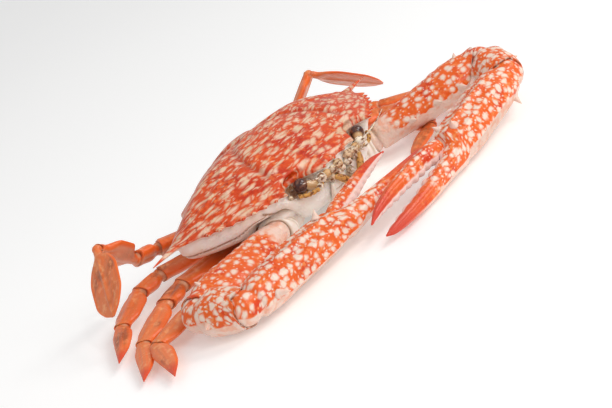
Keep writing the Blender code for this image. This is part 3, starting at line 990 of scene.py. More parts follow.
@dataclass
class Claws:
    """The two pincer limbs, folded across the face in their own ways."""

    finishes: dict[str, Material]
    root: Point = (23.4, -15.5, 7.4)
    base: tuple = ((0.30, 6.0, 5.4, 0.0), (0.62, 6.8, 5.9, 0.0))
    arm: tuple = (
        (0.05, 5.0, 4.8, 0.0),
        (0.11, 5.9, 5.5, 0.0),
        (0.32, 6.9, 6.2, 0.6),
        (0.54, 7.9, 7.0, 0.8),
        (0.74, 8.5, 7.6, 0.4),
        (0.88, 7.2, 7.2, 0.0),
    )
    wrist: tuple = ((0.26, 6.4, 6.4, 0.0), (0.44, 8.2, 7.8, 0.0), (0.64, 8.0, 7.6, 0.0))
    palm: tuple = (
        (0.045, 5.9, 5.9, 0.0),
        (0.10, 7.7, 7.0, 0.0),
        (0.24, 8.9, 7.7, 0.2),
        (0.38, 8.9, 7.3, 0.0),
        (0.47, 7.9, 6.4, 0.0),
        (0.51, 5.2, 5.4, -2.9),
        (0.60, 3.5, 4.2, -3.5),
        (0.75, 3.0, 3.3, -3.3),
        (0.88, 2.2, 2.4, -2.4),
        (0.97, 1.3, 1.3, -1.3),
        (1.0, 0.3, 0.3, -0.6),
    )
    finger: tuple = (
        (0.0, 3.1, 3.9, -0.2),
        (0.08, 3.5, 4.0, 0.2),
        (0.3, 3.2, 3.4, 0.8),
        (0.6, 2.7, 2.7, 0.8),
        (0.85, 1.7, 1.8, -0.2),
        (1.0, 0.3, 0.3, -1.8),
    )
    arm_thorns: tuple = (
        Thorn(15.5, 0, 1.5, 4.4),
        Thorn(26.5, 2, 1.7, 5.0),
        Thorn(37.0, 0, 1.8, 5.0),
        Thorn(43.0, 100, 1.2, 2.6),
    )
    wrist_thorns: tuple = (Thorn(9.4, 0, 1.6, 4.0), Thorn(9.4, 180, 1.5, 3.4))
    palm_thorns: tuple = (Thorn(9.4, 180, 1.4, 4.2), Thorn(42.5, 70, 1.3, 3.0), Thorn(43.5, 18, 1.1, 2.4))
    hinge: Pair = (0.52, 4.4)
    poses: tuple[ClawPose, ClawPose] = (
        ClawPose((40, 6), (40, 8), (122, -9), (180, -5), 50.0, 4.0),
        ClawPose((32, 4), (4, 0), (92, 0), (172, 1), 84.0, 18.0),
    )

    def links(self, pose: ClawPose) -> list[Link]:
        """A claw's pieces up to the palm.

        Args:
            pose: how the claw lies.

        Returns:
            The pieces, from the root outwards.
        """
        arm = {"section": Section.ARM, "sides": 84, "step": 0.6, "pale": (-0.05, 0.45)}
        wrist = {"section": Section.WRIST, "sides": 84, "step": 0.4}
        palm = {"section": Section.PALM, "sides": 128, "step": 0.36, "roll": pose.roll}
        return [
            Link("base", 11.0, 4.8, self.base, *pose.base, step=0.5),
            Link("arm", 50.0, 4.4, self.arm, *pose.arm, thorns=self.arm_thorns, **arm),
            Link("wrist", 20.0, 6.0, self.wrist, *pose.wrist, thorns=self.wrist_thorns, **wrist),
            Link("palm", 97.0, 5.6, self.palm, *pose.palm, thorns=self.palm_thorns, **palm),
        ]

    def build(self) -> None:
        """Builds both claws, each with its free finger hinged on the palm."""
        for side, pose in zip(SIDES, self.poses):
            links, root = self.links(pose), on_side(self.root, side)
            Limb("claw", root, side, links, self.finishes, Slot.CLAW).build()
            *inner, hand = links
            start = root + sum(heading(side, link.forward, link.rise) * link.length for link in inner)
            axis = heading(side, hand.forward, hand.rise)
            wide, _ = frame_of(axis, side, pose.roll)
            turn = math.radians(pose.opening)
            aim = axis * math.cos(turn) + wide * math.sin(turn)
            way = {
                "forward": math.degrees(math.atan2(-aim[1], side * aim[0])),
                "rise": math.degrees(math.asin(aim[2])),
                "roll": pose.roll,
            }
            shape = {"section": Section.FINGER, "blunt": True, "sides": 96, "step": 0.45}
            share, aside = self.hinge
            hinge = start + axis * (hand.length * share) + wide * aside
            finger = Link("finger", 45.0, 2.0, self.finger, **way, **shape)
            Limb("claw", hinge, side, [finger], self.finishes, Slot.CLAW).build()


@dataclass
class WalkingLegs:
    """Three pairs of flat walking legs with pointed ends.

    Poses list (forward, rise) of each piece of each leg, on the left and then on the right.
    """

    finish: Material
    names: tuple = ("first", "second", "third")
    roots: tuple = ((23.6, -6.2, 5.4), (24.4, 3.4, 5.4), (23.8, 12.6, 5.6))
    lengths: tuple = ((33.0, 13.0, 25.0, 27.0), (32.0, 13.0, 24.0, 26.0), (28.0, 12.0, 22.0, 25.0))
    thigh: tuple = (
        (0.14, 3.8, 2.8, 0.0),
        (0.38, 5.2, 3.0, 0.2),
        (0.74, 5.5, 3.0, 0.3),
        (0.92, 4.5, 2.9, 0.0),
    )
    knee: tuple = ((0.24, 3.5, 2.6, 0.0), (0.56, 5.0, 3.0, 0.5), (0.84, 4.5, 2.8, 0.3))
    shin: tuple = (
        (0.11, 3.2, 2.3, 0.0),
        (0.34, 5.2, 2.5, 0.3),
        (0.68, 5.1, 2.3, 0.3),
        (0.92, 3.4, 2.1, 0.0),
    )
    spear: tuple = (
        (0.08, 2.6, 1.7, 0.0),
        (0.24, 3.7, 1.7, 0.0),
        (0.6, 2.8, 1.4, -0.4),
        (1.0, 0.2, 0.2, -2.2),
    )
    poses: tuple = (
        (
            ((6, -2), (58, 0), (134, -1), (168, -2)),
            ((-6, 0), (34, 0), (78, -3), (116, -3)),
            ((-24, 3), (10, 0), (42, -5), (66, -4)),
        ),
        (
            ((-1, 0), (18, -2), (4, -1), (58, -3)),
            ((-11, 0), (12, 0), (20, -4), (46, -3)),
            ((-28, 3), (-4, 0), (22, -5), (44, -4)),
        ),
    )

    def build(self) -> None:
        """Builds the six legs."""
        kinds = (
            ("thigh", 3.0, self.thigh, {"section": Section.LEG, "flat": 0.8, "step": 0.6}),
            ("knee", 3.1, self.knee, {"section": Section.LEG, "flat": 0.74, "step": 0.4}),
            ("shin", 2.9, self.shin, {"section": Section.LEG, "flat": 0.7, "step": 0.5}),
            ("spear", 2.2, self.spear, {"section": Section.SPEAR, "flat": 0.66, "step": 0.45}),
        )
        for side, poses in zip(SIDES, self.poses):
            for name, root, lengths, pose in zip(self.names, self.roots, self.lengths, poses):
                links = [
                    Link(kind, length, ball, profile, *aim, **shape)
                    for (kind, ball, profile, shape), length, aim in zip(kinds, lengths, pose)
                ]
                leg = (f"leg_{name}", on_side(root, side), side, links)
                Limb(*leg, {"": self.finish}, Slot.LEG).build()


@dataclass
class SwimmingLegs:
    """The last pair of legs, which end in oval paddles.

    Poses list (forward, rise) of each piece, on the left and then on the right.
    """

    finish: Material
    root: Point = (22.4, 20.2, 10.0)
    thigh: tuple = ((0.16, 3.0, 2.6, 0.0), (0.45, 5.8, 3.4, 0.2), (0.80, 5.2, 3.4, 0.2))
    knee: tuple = ((0.26, 2.6, 2.2, 0.0), (0.55, 5.2, 3.1, 0.2), (0.82, 4.4, 2.9, 0.0))
    shin: tuple = ((0.14, 2.2, 1.9, 0.0), (0.36, 6.2, 2.2, 0.3), (0.66, 6.4, 2.2, 0.3), (0.88, 2.8, 2.1, 0.0))
    paddle: tuple = (
        (0.08, 1.5, 1.3, 0.0),
        (0.20, 5.2, 1.3, 0.0),
        (0.42, 7.8, 1.1, 0.0),
        (0.68, 7.6, 0.9, 0.0),
        (0.9, 4.4, 0.7, 0.0),
        (1.0, 0.8, 0.4, 0.0),
    )
    poses: tuple = (((-30, 8), (4, 16), (18, 36), (46, -34)), ((-34, 8), (0, 14), (12, 40), (40, -30)))

    def build(self) -> None:
        """Builds both swimming legs."""
        leg, leaf = ({"section": section, "roll": 60} for section in (Section.LEG, Section.PADDLE))
        for side, pose in zip(SIDES, self.poses):
            links = [
                Link("thigh", 20.0, 2.6, self.thigh, *pose[0], step=0.5, **leg),
                Link("knee", 12.0, 2.3, self.knee, *pose[1], step=0.4, **leg),
                Link("shin", 21.0, 2.1, self.shin, *pose[2], step=0.5, **leg),
                Link("paddle", 31.0, 1.6, self.paddle, *pose[3], sides=96, step=0.45, **leaf),
            ]
            root = on_side(self.root, side)
            Limb("swimmer", root, side, links, {"": self.finish}, Slot.LEG).build()


# --- Underside ---


@dataclass
class Underside:
    """The breastplate with the hips of the legs, and the abdomen folded flat under it.

    Hips list (x, y, z, size) on the left, and fillings list (middle, half sizes, sides).
    """

    finish: Material
    half: Pair = (21.0, 20.0)
    middle_y: float = 2.0
    shares: tuple = (0.0, 0.5, 0.86, 0.96, 1.0, 0.96, 0.86, 0.4)
    heights: tuple = (1.4, 1.4, 1.4, 2.4, 5.0, 9.4, 14.2, 14.2)
    grooves: tuple = (-11.0, -4.5, 2.5, 9.5, 15.5)
    hips: tuple = (
        (23.4, -15.5, 7.4, 6.6),
        (23.6, -6.2, 5.4, 3.9),
        (24.4, 3.4, 5.4, 3.9),
        (23.8, 12.6, 5.6, 3.9),
        (22.4, 20.2, 10.0, 5.0),
    )
    shoulder: Point = (24.5, -19.0, 11.6)
    shoulder_half: Point = (7.0, 5.6, 3.4)
    fillings: tuple = (
        ((0.0, 19.5, 8.8), (19.5, 9.6, 7.2), 72),
        ((0.0, -28.6, 8.8), (10.5, 3.6, 6.6), 56),
        ((0.0, -21.5, 9.6), (18.0, 9.0, 6.4), 64),
    )
    flap_half: float = 13.0
    flap_front: float = -15.0
    flap_rear: float = 23.0
    flap_thick: float = 1.0
    flap_joints: tuple = (0.16, 0.32, 0.5, 0.68, 0.85)
    tail: tuple = ((24.0, 15.4), (28.2, 14.2), (29.8, 11.2), (28.8, 7.2), (26.2, 3.4), (21.6, 1.0))

    def build(self) -> None:
        """Builds the breastplate and the flap."""
        self.build_breast()
        self.build_flap()

    def build_breast(self) -> None:
        """Skins the breastplate, sets a hip at each leg's root and fills it out fore and aft."""
        _, c, s = circle(160)
        flat = np.column_stack((signed_power(c, 2 / 2.6), signed_power(s, 2 / 2.6)))
        keys = np.linspace(0, 1, len(self.shares))
        rings, crease = [], []
        for step in np.linspace(0.02, 0.98, 60):
            share, z = (float(np.interp(step, keys, values)) for values in (self.shares, self.heights))
            ring = flat * np.array(self.half) * share + (0.0, self.middle_y)
            lean = ring[:, 1] - 0.12 * np.abs(ring[:, 0])
            groove = np.max([hill(lean, place, 0.55) for place in self.grooves], axis=0)
            groove = groove * smooth((10.0 - z) / 4.0)
            inward = unit(ring) * (0.5 * groove * smooth((z - 1.5) / 2.0))[:, None]
            rings.append(np.column_stack((ring - inward, z + 0.5 * groove * (z < 3.0))))
            crease.append(groove * 0.6)
        form = Form("breastplate")
        form.wrap(np.array(rings), pale=1.0, crease=np.array(crease))
        for side in SIDES:
            for x, y, z, size in self.hips:
                middle = (side * (x - 0.72 * size), y * 0.97, z)
                form.lump(middle, (size * 0.95, size, size * 0.9), 36, 0.04, pale=1.0)
            form.lump(on_side(self.shoulder, side), self.shoulder_half, 44, 0.05, pale=1.0)
        for middle, half, sides in self.fillings:
            form.lump(middle, half, sides, 0.02, pale=1.0)
        form.make(self.finish, Slot.CREAM, "thorax")

    def build_flap(self) -> None:
        """Skins the flap across its length, with a groove between each two of its rings."""
        _, c, s = circle(72)
        rings, crease = [], []
        for share in np.linspace(0.0, 1.0, 90):
            half = self.flap_half * math.sqrt(max(0.0, 1.0 - share**1.7)) + 0.5
            groove = max(float(hill(share, place, 0.011)) for place in self.flap_joints)
            x = signed_power(c, 0.8) * half * (1.0 - 0.02 * groove)
            z = self.flap_thick * (0.5 + 0.5 * signed_power(s, 0.35))
            z = np.where(s < 0, z + 0.28 * groove, z - 0.1 * groove)
            y = np.full(len(c), self.flap_rear + (self.flap_front - self.flap_rear) * share)
            rings.append(np.column_stack((x, y, z)))
            crease.append(np.full(len(c), groove * 0.7))
        form = Form("abdomen")
        form.wrap(np.array(rings), pale=1.0, crease=np.array(crease))
        self.add_tail(form)
        form.make(self.finish, Slot.CREAM, "abdomen_flap")

    def add_tail(self, form: Form) -> None:
        """Adds the bent rings that join the flap to the shell's rear edge, each lapping over the next.

        Args:
            form: the form that takes them.
        """
        _, c, s = circle(72)
        for first in range(4):
            steps = np.linspace(first + 0.05, first + 1.35, 16)
            middle = thread(np.array(self.tail), steps)
            along = unit(np.gradient(middle, axis=0))
            outward = np.column_stack((-along[:, 1], along[:, 0])) * (1.0 if along[0, 1] < 0 else -1.0)
            share = (steps - steps[0]) / (steps[-1] - steps[0])
            half = (16.4 - 0.85 * steps) * (0.94 + 0.06 * np.sin(math.pi * share))
            thick = 0.75 * np.sin(math.pi * np.clip(0.12 + 0.8 * share, 0, 1)) ** 0.5 + 0.15
            lift = 0.8 * share - 0.6 * smooth(0.3 - share)
            x = signed_power(c, 0.7) * half[:, None]
            bow = (lift[:, None] + thick[:, None] * s) - 5.0 * np.abs(x / 16.0) ** 3
            y, z = (middle[:, i, None] + outward[:, i, None] * bow for i in (0, 1))
            # The crease at the start of each ring, tucked under the one before, is painted shade along with
            # the joint's line.
            crease = np.broadcast_to(hill(share, 0.1, 0.16)[:, None], x.shape)
            form.wrap(np.stack((x, y, z), axis=-1), pale=1.0, crease=crease)


# --- Face ---


@dataclass
class Face:
    """Half of the face: an eye on its stalk, a mouth plate with its palp, feelers and bristles.

    Places are for the left half. Knuckles and knobs list (place, size), and seeds are for the left
    and then the right.
    """

    side: int
    eye: Material
    plate: Material
    gold: Material
    bristle: Material
    eye_inner: Point = (14.2, -32.2, 15.6)
    eye_outer: Point = (19.2, -28.9, 18.6)
    eye_radius: float = 2.65
    stalk: float = 1.7
    plate_top: Point = (5.0, -34.0, 14.4)
    plate_foot: Point = (4.7, -29.8, 2.8)
    plate_half: float = 4.2
    plate_thick: float = 1.2
    plate_fill: tuple = ((0, 0.12, 0.4, 0.75, 0.94, 1.0), (0.55, 0.86, 1.0, 0.94, 0.8, 0.5))
    knuckles: tuple = (
        ((3.4, -34.6, 17.3), 1.9),
        ((6.6, -34.4, 16.9), 1.8),
        ((9.6, -33.6, 17.0), 1.7),
        ((11.6, -32.6, 16.2), 1.6),
        ((8.6, -34.3, 14.9), 1.3),
    )
    knobs: tuple = (
        ((13.0, -33.6, 17.4), 2.1),
        ((15.2, -33.5, 15.2), 1.5),
        ((2.2, -34.3, 15.2), 1.7),
        ((5.6, -35.0, 15.4), 1.3),
    )
    lid: tuple = (
        (12.6, -32.6, 17.6),
        (13.8, -33.6, 15.8),
        (17.0, -33.4, 14.9),
        (20.6, -32.0, 15.2),
        (23.2, -29.6, 16.4),
    )
    whip: tuple = ((11.4, -34.2, 17.4), (17.0, -39.0, 19.5), (27.0, -38.0, 22.4))
    fold: tuple = ((3.6, -35.4, 17.6), (5.6, -38.0, 17.4), (8.4, -36.6, 18.6))
    palp: tuple = ((8.4, -35.0, 14.8), (5.6, -37.4, 13.0), (1.2, -35.0, 6.4))
    lump_seeds: tuple[int, int] = (11, 23)
    bristle_seeds: tuple[int, int] = (5, 8)
    grains: int = 34
    hairs: int = 190

    def at(self, point: Point) -> Array:
        """The point on this half's side."""
        return on_side(point, self.side)

    def build(self) -> None:
        """Builds everything on this half."""
        self.build_eye()
        self.build_plate()
        self.build_feelers(np.random.default_rng(self.lump_seeds[self.side < 0]))
        self.build_bristles(np.random.default_rng(self.bristle_seeds[self.side < 0]))

    def build_eye(self) -> None:
        """Builds a stalk with its swollen eye."""
        inner, outer = self.at(self.eye_inner), self.at(self.eye_outer)
        reach = float(np.linalg.norm(outer - inner))
        ball, radius = np.linspace(0.62, 3.0, 24), self.eye_radius
        place = np.concatenate(((0.0, 0.6, 1.6, reach - 3.0), reach - radius * np.cos(ball)))
        size = np.concatenate((self.stalk * np.array((0.7, 1.0, 1.05, 0.94)), radius * np.sin(ball)))
        axis = unit(outer - inner)
        form = Form(f"eye_{SIDES[self.side]}_ball")
        root = 1.0 - smooth((place[:, None] - reach + 2.2) / 0.6)
        form.wrap(hoops(inner + axis * place[:, None], size, -axis, (0, 0, -1), 48), root=root)
        form.make(self.eye, Slot.EYE, f"eye_{SIDES[self.side]}")

    def build_plate(self) -> None:
        """Builds a mouth plate of two parts, with the slim branch beside it."""
        top, foot = self.at(self.plate_top), self.at(self.plate_foot)
        axis = unit(foot - top)
        across = np.array((float(self.side), 0.0, 0.0))
        outward = unit(np.cross(axis, across)) * (1.0 if np.cross(axis, across)[1] < 0 else -1.0)
        reach = float(np.linalg.norm(foot - top))
        share = np.linspace(0.0, 1.0, 64)
        fill = flow(*np.array(self.plate_fill), share)
        joint = hill(share, 0.36, 0.018) + 0.5 * hill(share, 0.9, 0.03)
        _, c, s = circle(64)
        x = signed_power(c, 0.75) * self.plate_half * (fill - 0.05 * joint)[:, None]
        dish = 1.0 - 0.3 * hill(c[None], 0.1, 0.35) * smooth((share - 0.45) / 0.1)[:, None]
        dish = dish - 0.45 * joint[:, None]
        rim = 1.0 + 0.25 * hill(np.abs(c), 0.9, 0.12)[None]
        y = self.plate_thick * signed_power(s, 0.8) * fill[:, None] * dish * rim
        rings = top + axis * (reach * share)[:, None, None] + x[..., None] * across + y[..., None] * outward
        form = Form(f"mouth_{SIDES[self.side]}_plate")
        form.wrap(rings, pale=1.0, crease=np.broadcast_to(joint[:, None] * 0.8, x.shape))
        way = np.linspace(0.1, 0.97, 20)[:, None]
        rod = top + across * 4.6 + axis * reach * way + outward * (0.5 - 0.3 * way)
        form.tube(rod, 0.95 * np.sin(np.linspace(0.5, 2.6, 20)) + 0.1, sides=16, pale=1.0)
        form.make(self.plate, Slot.CREAM, f"mouth_plate_{SIDES[self.side]}")

    def build_feelers(self, rng: np.random.Generator) -> None:
        """Builds the feelers, their knuckles, and the mouth's curled palps.

        Args:
            rng: what the sizes and places of the small grains are drawn from.
        """
        form = Form(f"feelers_{SIDES[self.side]}")
        for place, size in self.knuckles:
            size = size * (1.0 + 0.1 * rng.random())
            half, tip = (size, size * 0.85, size * 0.9), 0.3 + 0.4 * rng.random()
            form.lump(self.at(place), half, 24, 0.12, tip=tip)
        reach = np.linspace(0, 4, 34)
        lid = thread(np.array([self.at(point) for point in self.lid]), reach)
        form.tube(lid, 0.62 + 0.22 * np.sin(reach * 7.0) ** 2, sides=14, tip=0.85)
        for place, size in self.knobs:
            form.lump(self.at(place), (size, size * 0.8, size * 0.85), 24, 0.1, tip=0.1)
        for _ in range(self.grains):
            x = rng.uniform(1.0, 25.0)
            y = 30.0 - math.sqrt(62.2**2 - x**2) + rng.uniform(0.0, 0.8)
            z = 17.4 - 0.05 * x + rng.uniform(-1.6, 0.9)
            if 13.5 < x < 24.0:
                z = 15.2 + rng.uniform(-0.9, 0.2)
            size = rng.uniform(0.45, 0.95)
            form.lump(self.at((x, y, z)), (size, size, size), 14, 0.2, tip=rng.random())
        share = np.linspace(0, 1, 26)
        swell = 1.25 * np.sin(0.5 + 2.3 * share) + 0.1
        for line, radius, sides, tip in (
            (self.whip, 0.42 - 0.32 * share, 10, 0.2),
            (self.fold, 0.62 - 0.36 * share, 12, 0.5),
            (self.palp, swell, 16, 0.8),
        ):
            path = arch(*(self.at(point) for point in line), share[:, None])
            form.tube(path, radius, sides=sides, tip=tip)
        form.make(self.gold, Slot.CREAM)

    def build_bristles(self, rng: np.random.Generator) -> None:
        """Builds tufts along the mouth's inner edge, round the eye and on the palps.

        Args:
            rng: what their places and lengths are drawn from.
        """
        form = Form(f"bristles_{SIDES[self.side]}")
        share = np.linspace(0, 1, 5)[:, None]
        for _ in range(self.hairs):
            if rng.random() < 0.62:
                t = rng.random()
                base = np.array((0.4 + rng.uniform(0, 1.2), -35.0 + 3.9 * t, 14.0 - 10.5 * t))
                aim = np.array((rng.normal(0, 0.5), -1.0, rng.normal(-0.2, 0.4)))
            else:
                base = np.array((0.0, -34.2, 15.6)) + rng.uniform((2, 0, -1), (13, 0.8, 1.5))
                aim = np.array((rng.normal(0, 0.6), -1.0, rng.normal(0.2, 0.5)))
            reach = rng.uniform(1.0, 2.4)
            sag = np.array((0, 0, -0.35)) * reach
            path = (base + unit(aim) * reach * share + sag * share**2) * (self.side, 1, 1)
            form.tube(path, np.linspace(0.11, 0.03, 5), sides=5, tip=rng.random())
        form.make(self.bristle, Slot.CREAM)


# --- Node work ---


@dataclass
class Wiring:
    """Short ways to place and join nodes in one tree."""

    tree: bpy.types.NodeTree

    def node(self, kind: str, **settings: object) -> bpy.types.Node:
        """A new node.

        Args:
            kind: the kind of node.
            settings: a value for any of its settings, by name.

        Returns:
            The node.
        """
        made = self.tree.nodes.new(kind)
        for name, value in settings.items():
            setattr(made, name, value)
        return made

    def feed(self, socket: Socket, value: object) -> None:
        """Joins a socket, or sets it where the value is plain.

        Args:
            socket: the socket.
            value: another socket, a number, a vector or a colour.
        """
        if isinstance(value, Socket):
            self.tree.links.new(value, socket)
        elif isinstance(value, tuple) and len(value) == 3 and len(socket.default_value) == 4:
            socket.default_value = (*value, 1.0)
        else:
            socket.default_value = value

    def joined(self, kind: str, feeds: dict[int | str, object], **settings: object) -> bpy.types.Node:
        """A new node with its sockets joined or set.

        Args:
            kind: the kind of node.
            feeds: what feeds each socket, by its number or name.
            settings: a value for any of the node's settings, by name.

        Returns:
            The node.
        """
        made = self.node(kind, **settings)
        for key, value in feeds.items():
            self.feed(made.inputs[key], value)
        return made

    def maths(self, operation: str, *values: object) -> Socket:
        """A sum of values."""
        return self.joined("ShaderNodeMath", dict(enumerate(values)), operation=operation).outputs[0]

    def times(self, first: object, second: object) -> Socket:
        """One value times another."""
        return self.maths("MULTIPLY", first, second)

    def vector(self, operation: str, first: object, second: object) -> Socket:
        """A sum of two vectors."""
        return self.joined("ShaderNodeVectorMath", {0: first, 1: second}, operation=operation).outputs[0]

    def ease(self, value: object, low: object, high: object) -> Socket:
        """Eases from 0 to 1 as the value goes from low to high."""
        feeds = {"Value": value, "From Min": low, "From Max": high}
        return self.joined("ShaderNodeMapRange", feeds, interpolation_type="SMOOTHSTEP").outputs[0]

    def mix(self, share: object, under: object, over: object) -> Socket:
        """One colour over another."""
        return self.joined("ShaderNodeMix", {0: share, 6: under, 7: over}, data_type="RGBA").outputs[2]

    def mark(self, mark: Mark) -> Socket:
        """A mark of the mesh."""
        return self.node("ShaderNodeAttribute", attribute_name=mark.value).outputs["Fac"]

    def skin(self) -> Socket:
        """The mesh's flat places for spots, in millimetres."""
        return self.node("ShaderNodeAttribute", attribute_name="skin").outputs["Vector"]

    def place(self) -> Socket:
        """The point's own place on the crab, in millimetres."""
        where = self.node("ShaderNodeTexCoord").outputs["Object"]
        return self.vector("MULTIPLY", where, (1 / MM, 1 / MM, 1 / MM))

    def noise(self, where: object, size: object, detail: float = 2.0) -> Socket:
        """Soft noise.

        Args:
            where: the places that it is read at.
            size: about how many millimetres wide its patches are.
            detail: how fine it goes.

        Returns:
            Its strength.
        """
        scale = 1.0 / size if isinstance(size, (int, float)) else self.maths("DIVIDE", 1.0, size)
        feeds = {"Vector": where, "Scale": scale, "Detail": detail}
        return self.joined("ShaderNodeTexNoise", feeds).outputs[0]

    def patches(self, where: object, size: object, low: float, high: float, detail: float = 2.0) -> Socket:
        """Noise drawn out into patches, from none below low to whole above high."""
        return self.ease(self.noise(where, size, detail), low, high)

    def use(self, name: str, **values: object) -> bpy.types.Node:
        """Places a shared effect with its values, whose names have low lines for spaces."""
        feeds = {key.replace("_", " "): value for key, value in values.items()}
        return self.joined("ShaderNodeGroup", feeds, node_tree=bpy.data.node_groups[name])


class Effects:
    """The shared effects, each a node group built once."""

    def __init__(self) -> None:
        """Builds every group."""
        self.build_spots()
        self.build_grain()
        self.build_blush()
        self.build_joints()

    @staticmethod
    def group(
        name: str, inputs: dict[str, object], output: str, kind: str
    ) -> tuple[Wiring, dict[str, Socket], Socket]:
        """Starts a node group.

        Args:
            name: the group's name.
            inputs: each input with its usual value, or "vector".
            output: the output's name.
            kind: the kind of the output's socket.

        Returns:
            The wiring, the inputs' sockets by name, and the output's socket.
        """
        tree = bpy.data.node_groups.new(name, "ShaderNodeTree")
        for key, value in inputs.items():
            wanted = "Vector" if value == "vector" else "Color" if isinstance(value, tuple) else "Float"
            socket = tree.interface.new_socket(name=key, in_out="INPUT", socket_type=f"NodeSocket{wanted}")
            if wanted == "Color":
                socket.default_value = (*value, 1.0)
            elif wanted == "Float":
                socket.default_value = value
        tree.interface.new_socket(name=output, in_out="OUTPUT", socket_type=f"NodeSocket{kind}")
        wiring = Wiring(tree)
        start, stop = wiring.node("NodeGroupInput"), wiring.node("NodeGroupOutput")
        return wiring, {key: start.outputs[key] for key in inputs}, stop.inputs[output]

    def build_spots(self) -> None:
        """Pale spots of mixed sizes that run together here and there."""
        sizes = {"Pitch": 3.0, "Size": 0.4, "Soft": 0.1, "Warp": 0.5}
        inputs = {"Skin": "vector", **sizes, "Stretch": 1.0, "Loose": 0.7, "Small": 0.5}
        wiring, given, result = self.group("pale_spots", inputs, "Mask", "Float")
        across = wiring.times(given["Pitch"], given["Stretch"])
        spread = wiring.joined("ShaderNodeCombineXYZ", {0: across, 1: given["Pitch"], 2: 1.0}).outputs[0]
        even = wiring.vector("DIVIDE", given["Skin"], spread)
        feeds = {"Vector": even, "Scale": 0.9, "Detail": 2.5}
        shake = wiring.joined("ShaderNodeTexNoise", feeds, noise_dimensions="2D")
        swing = wiring.vector("SUBTRACT", shake.outputs["Color"], (0.5, 0.5, 0.5))
        feeds = {0: swing, "Scale": given["Warp"]}
        moved = wiring.joined("ShaderNodeVectorMath", feeds, operation="SCALE")
        where = wiring.vector("ADD", even, moved.outputs[0])
        masks = []
        for scale, share in ((1.0, 1.0), (1.73, given["Small"])):
            feeds = {"Vector": where, "Scale": scale, "Randomness": given["Loose"]}
            cells = wiring.joined("ShaderNodeTexVoronoi", feeds, voronoi_dimensions="2D")
            parts = wiring.joined("ShaderNodeSeparateColor", {0: cells.outputs["Color"]})
            vary = wiring.maths("MULTIPLY_ADD", parts.outputs[0], 0.6, 0.7)
            reach = wiring.times(wiring.times(given["Size"], vary), share)
            inner, outer = (wiring.maths(way, reach, given["Soft"]) for way in ("SUBTRACT", "ADD"))
            masks.append(wiring.maths("SUBTRACT", 1.0, wiring.ease(cells.outputs["Distance"], inner, outer)))
        wiring.feed(result, wiring.maths("MAXIMUM", *masks))

    def build_grain(self) -> None:
        """Small granules over a fine tooth, as a height."""
        inputs = {"Place": "vector", "Grain": 0.9}
        wiring, given, result = self.group("shell_grain", inputs, "Height", "Float")
        where = given["Place"]
        feeds = {"Vector": where, "Scale": wiring.maths("DIVIDE", 1.0, given["Grain"])}
        small = wiring.joined("ShaderNodeTexVoronoi", feeds, feature="SMOOTH_F1")
        bead = wiring.maths("SUBTRACT", 1.0, wiring.ease(small.outputs["Distance"], 0.1, 0.7))
        beads = wiring.times(bead, wiring.patches(where, 7.0, 0.4, 0.62))
        height = wiring.maths("ADD", beads, wiring.times(wiring.noise(where, 0.35, 3.0), 0.35))
        wiring.feed(result, wiring.maths("ADD", height, wiring.noise(where, 2.6)))

    def build_blush(self) -> None:
        """Colour that drifts between three tones, as cooked shell does."""
        tones = {"Deep": (0.8, 0.1, 0.02), "Even": (0.9, 0.2, 0.05), "Light": (0.9, 0.4, 0.2)}
        inputs = {"Place": "vector", **tones, "Patch": 9.0}
        wiring, given, result = self.group("cooked_blush", inputs, "Color", "Color")
        where, patch = given["Place"], given["Patch"]
        deep = wiring.mix(wiring.patches(where, patch, 0.33, 0.5, 3.0), given["Deep"], given["Even"])
        fine = wiring.patches(where, wiring.times(patch, 0.22), 0.5, 0.72, 3.0)
        wiring.feed(result, wiring.mix(fine, deep, given["Light"]))

    def build_joints(self) -> None:
        """Brown cracks at the joints, partly the joints' own colour and partly painted shade in the cups and
        gaps, and pale skin on the balls inside them.
        """
        tones = {"Crack": (0.22, 0.075, 0.025), "Skin": (0.8, 0.6, 0.45)}
        inputs = {"Color": (0.5, 0.5, 0.5), "Crease": 0.0, "Root": 0.0, **tones}
        wiring, given, result = self.group("joint_shade", inputs, "Color", "Color")
        # The crease mark brings in the crack colour: the joints' own dark and painted shade in their cups.
        broken = wiring.times(given["Crease"], wiring.patches(wiring.place(), 1.4, 0.38, 0.62, 3.0))
        soft = wiring.mix(given["Root"], given["Color"], given["Skin"])
        wiring.feed(result, wiring.mix(broken, soft, given["Crack"]))


# --- Finishes ---


def new_material(name: str, constants: dict[str, object]) -> tuple[Material, Wiring, bpy.types.Node]:
    """Starts a material.

    Args:
        name: its name.
        constants: the values that are the same all over, by the name of the shader's socket.

    Returns:
        The material, the wiring of its nodes, and its shader.
    """
    material = bpy.data.materials.new(name)
    material.use_nodes = True
    shader = material.node_tree.nodes["Principled BSDF"]
    for socket, value in constants.items():
        shader.inputs[socket].default_value = value
    return material, Wiring(material.node_tree), shader


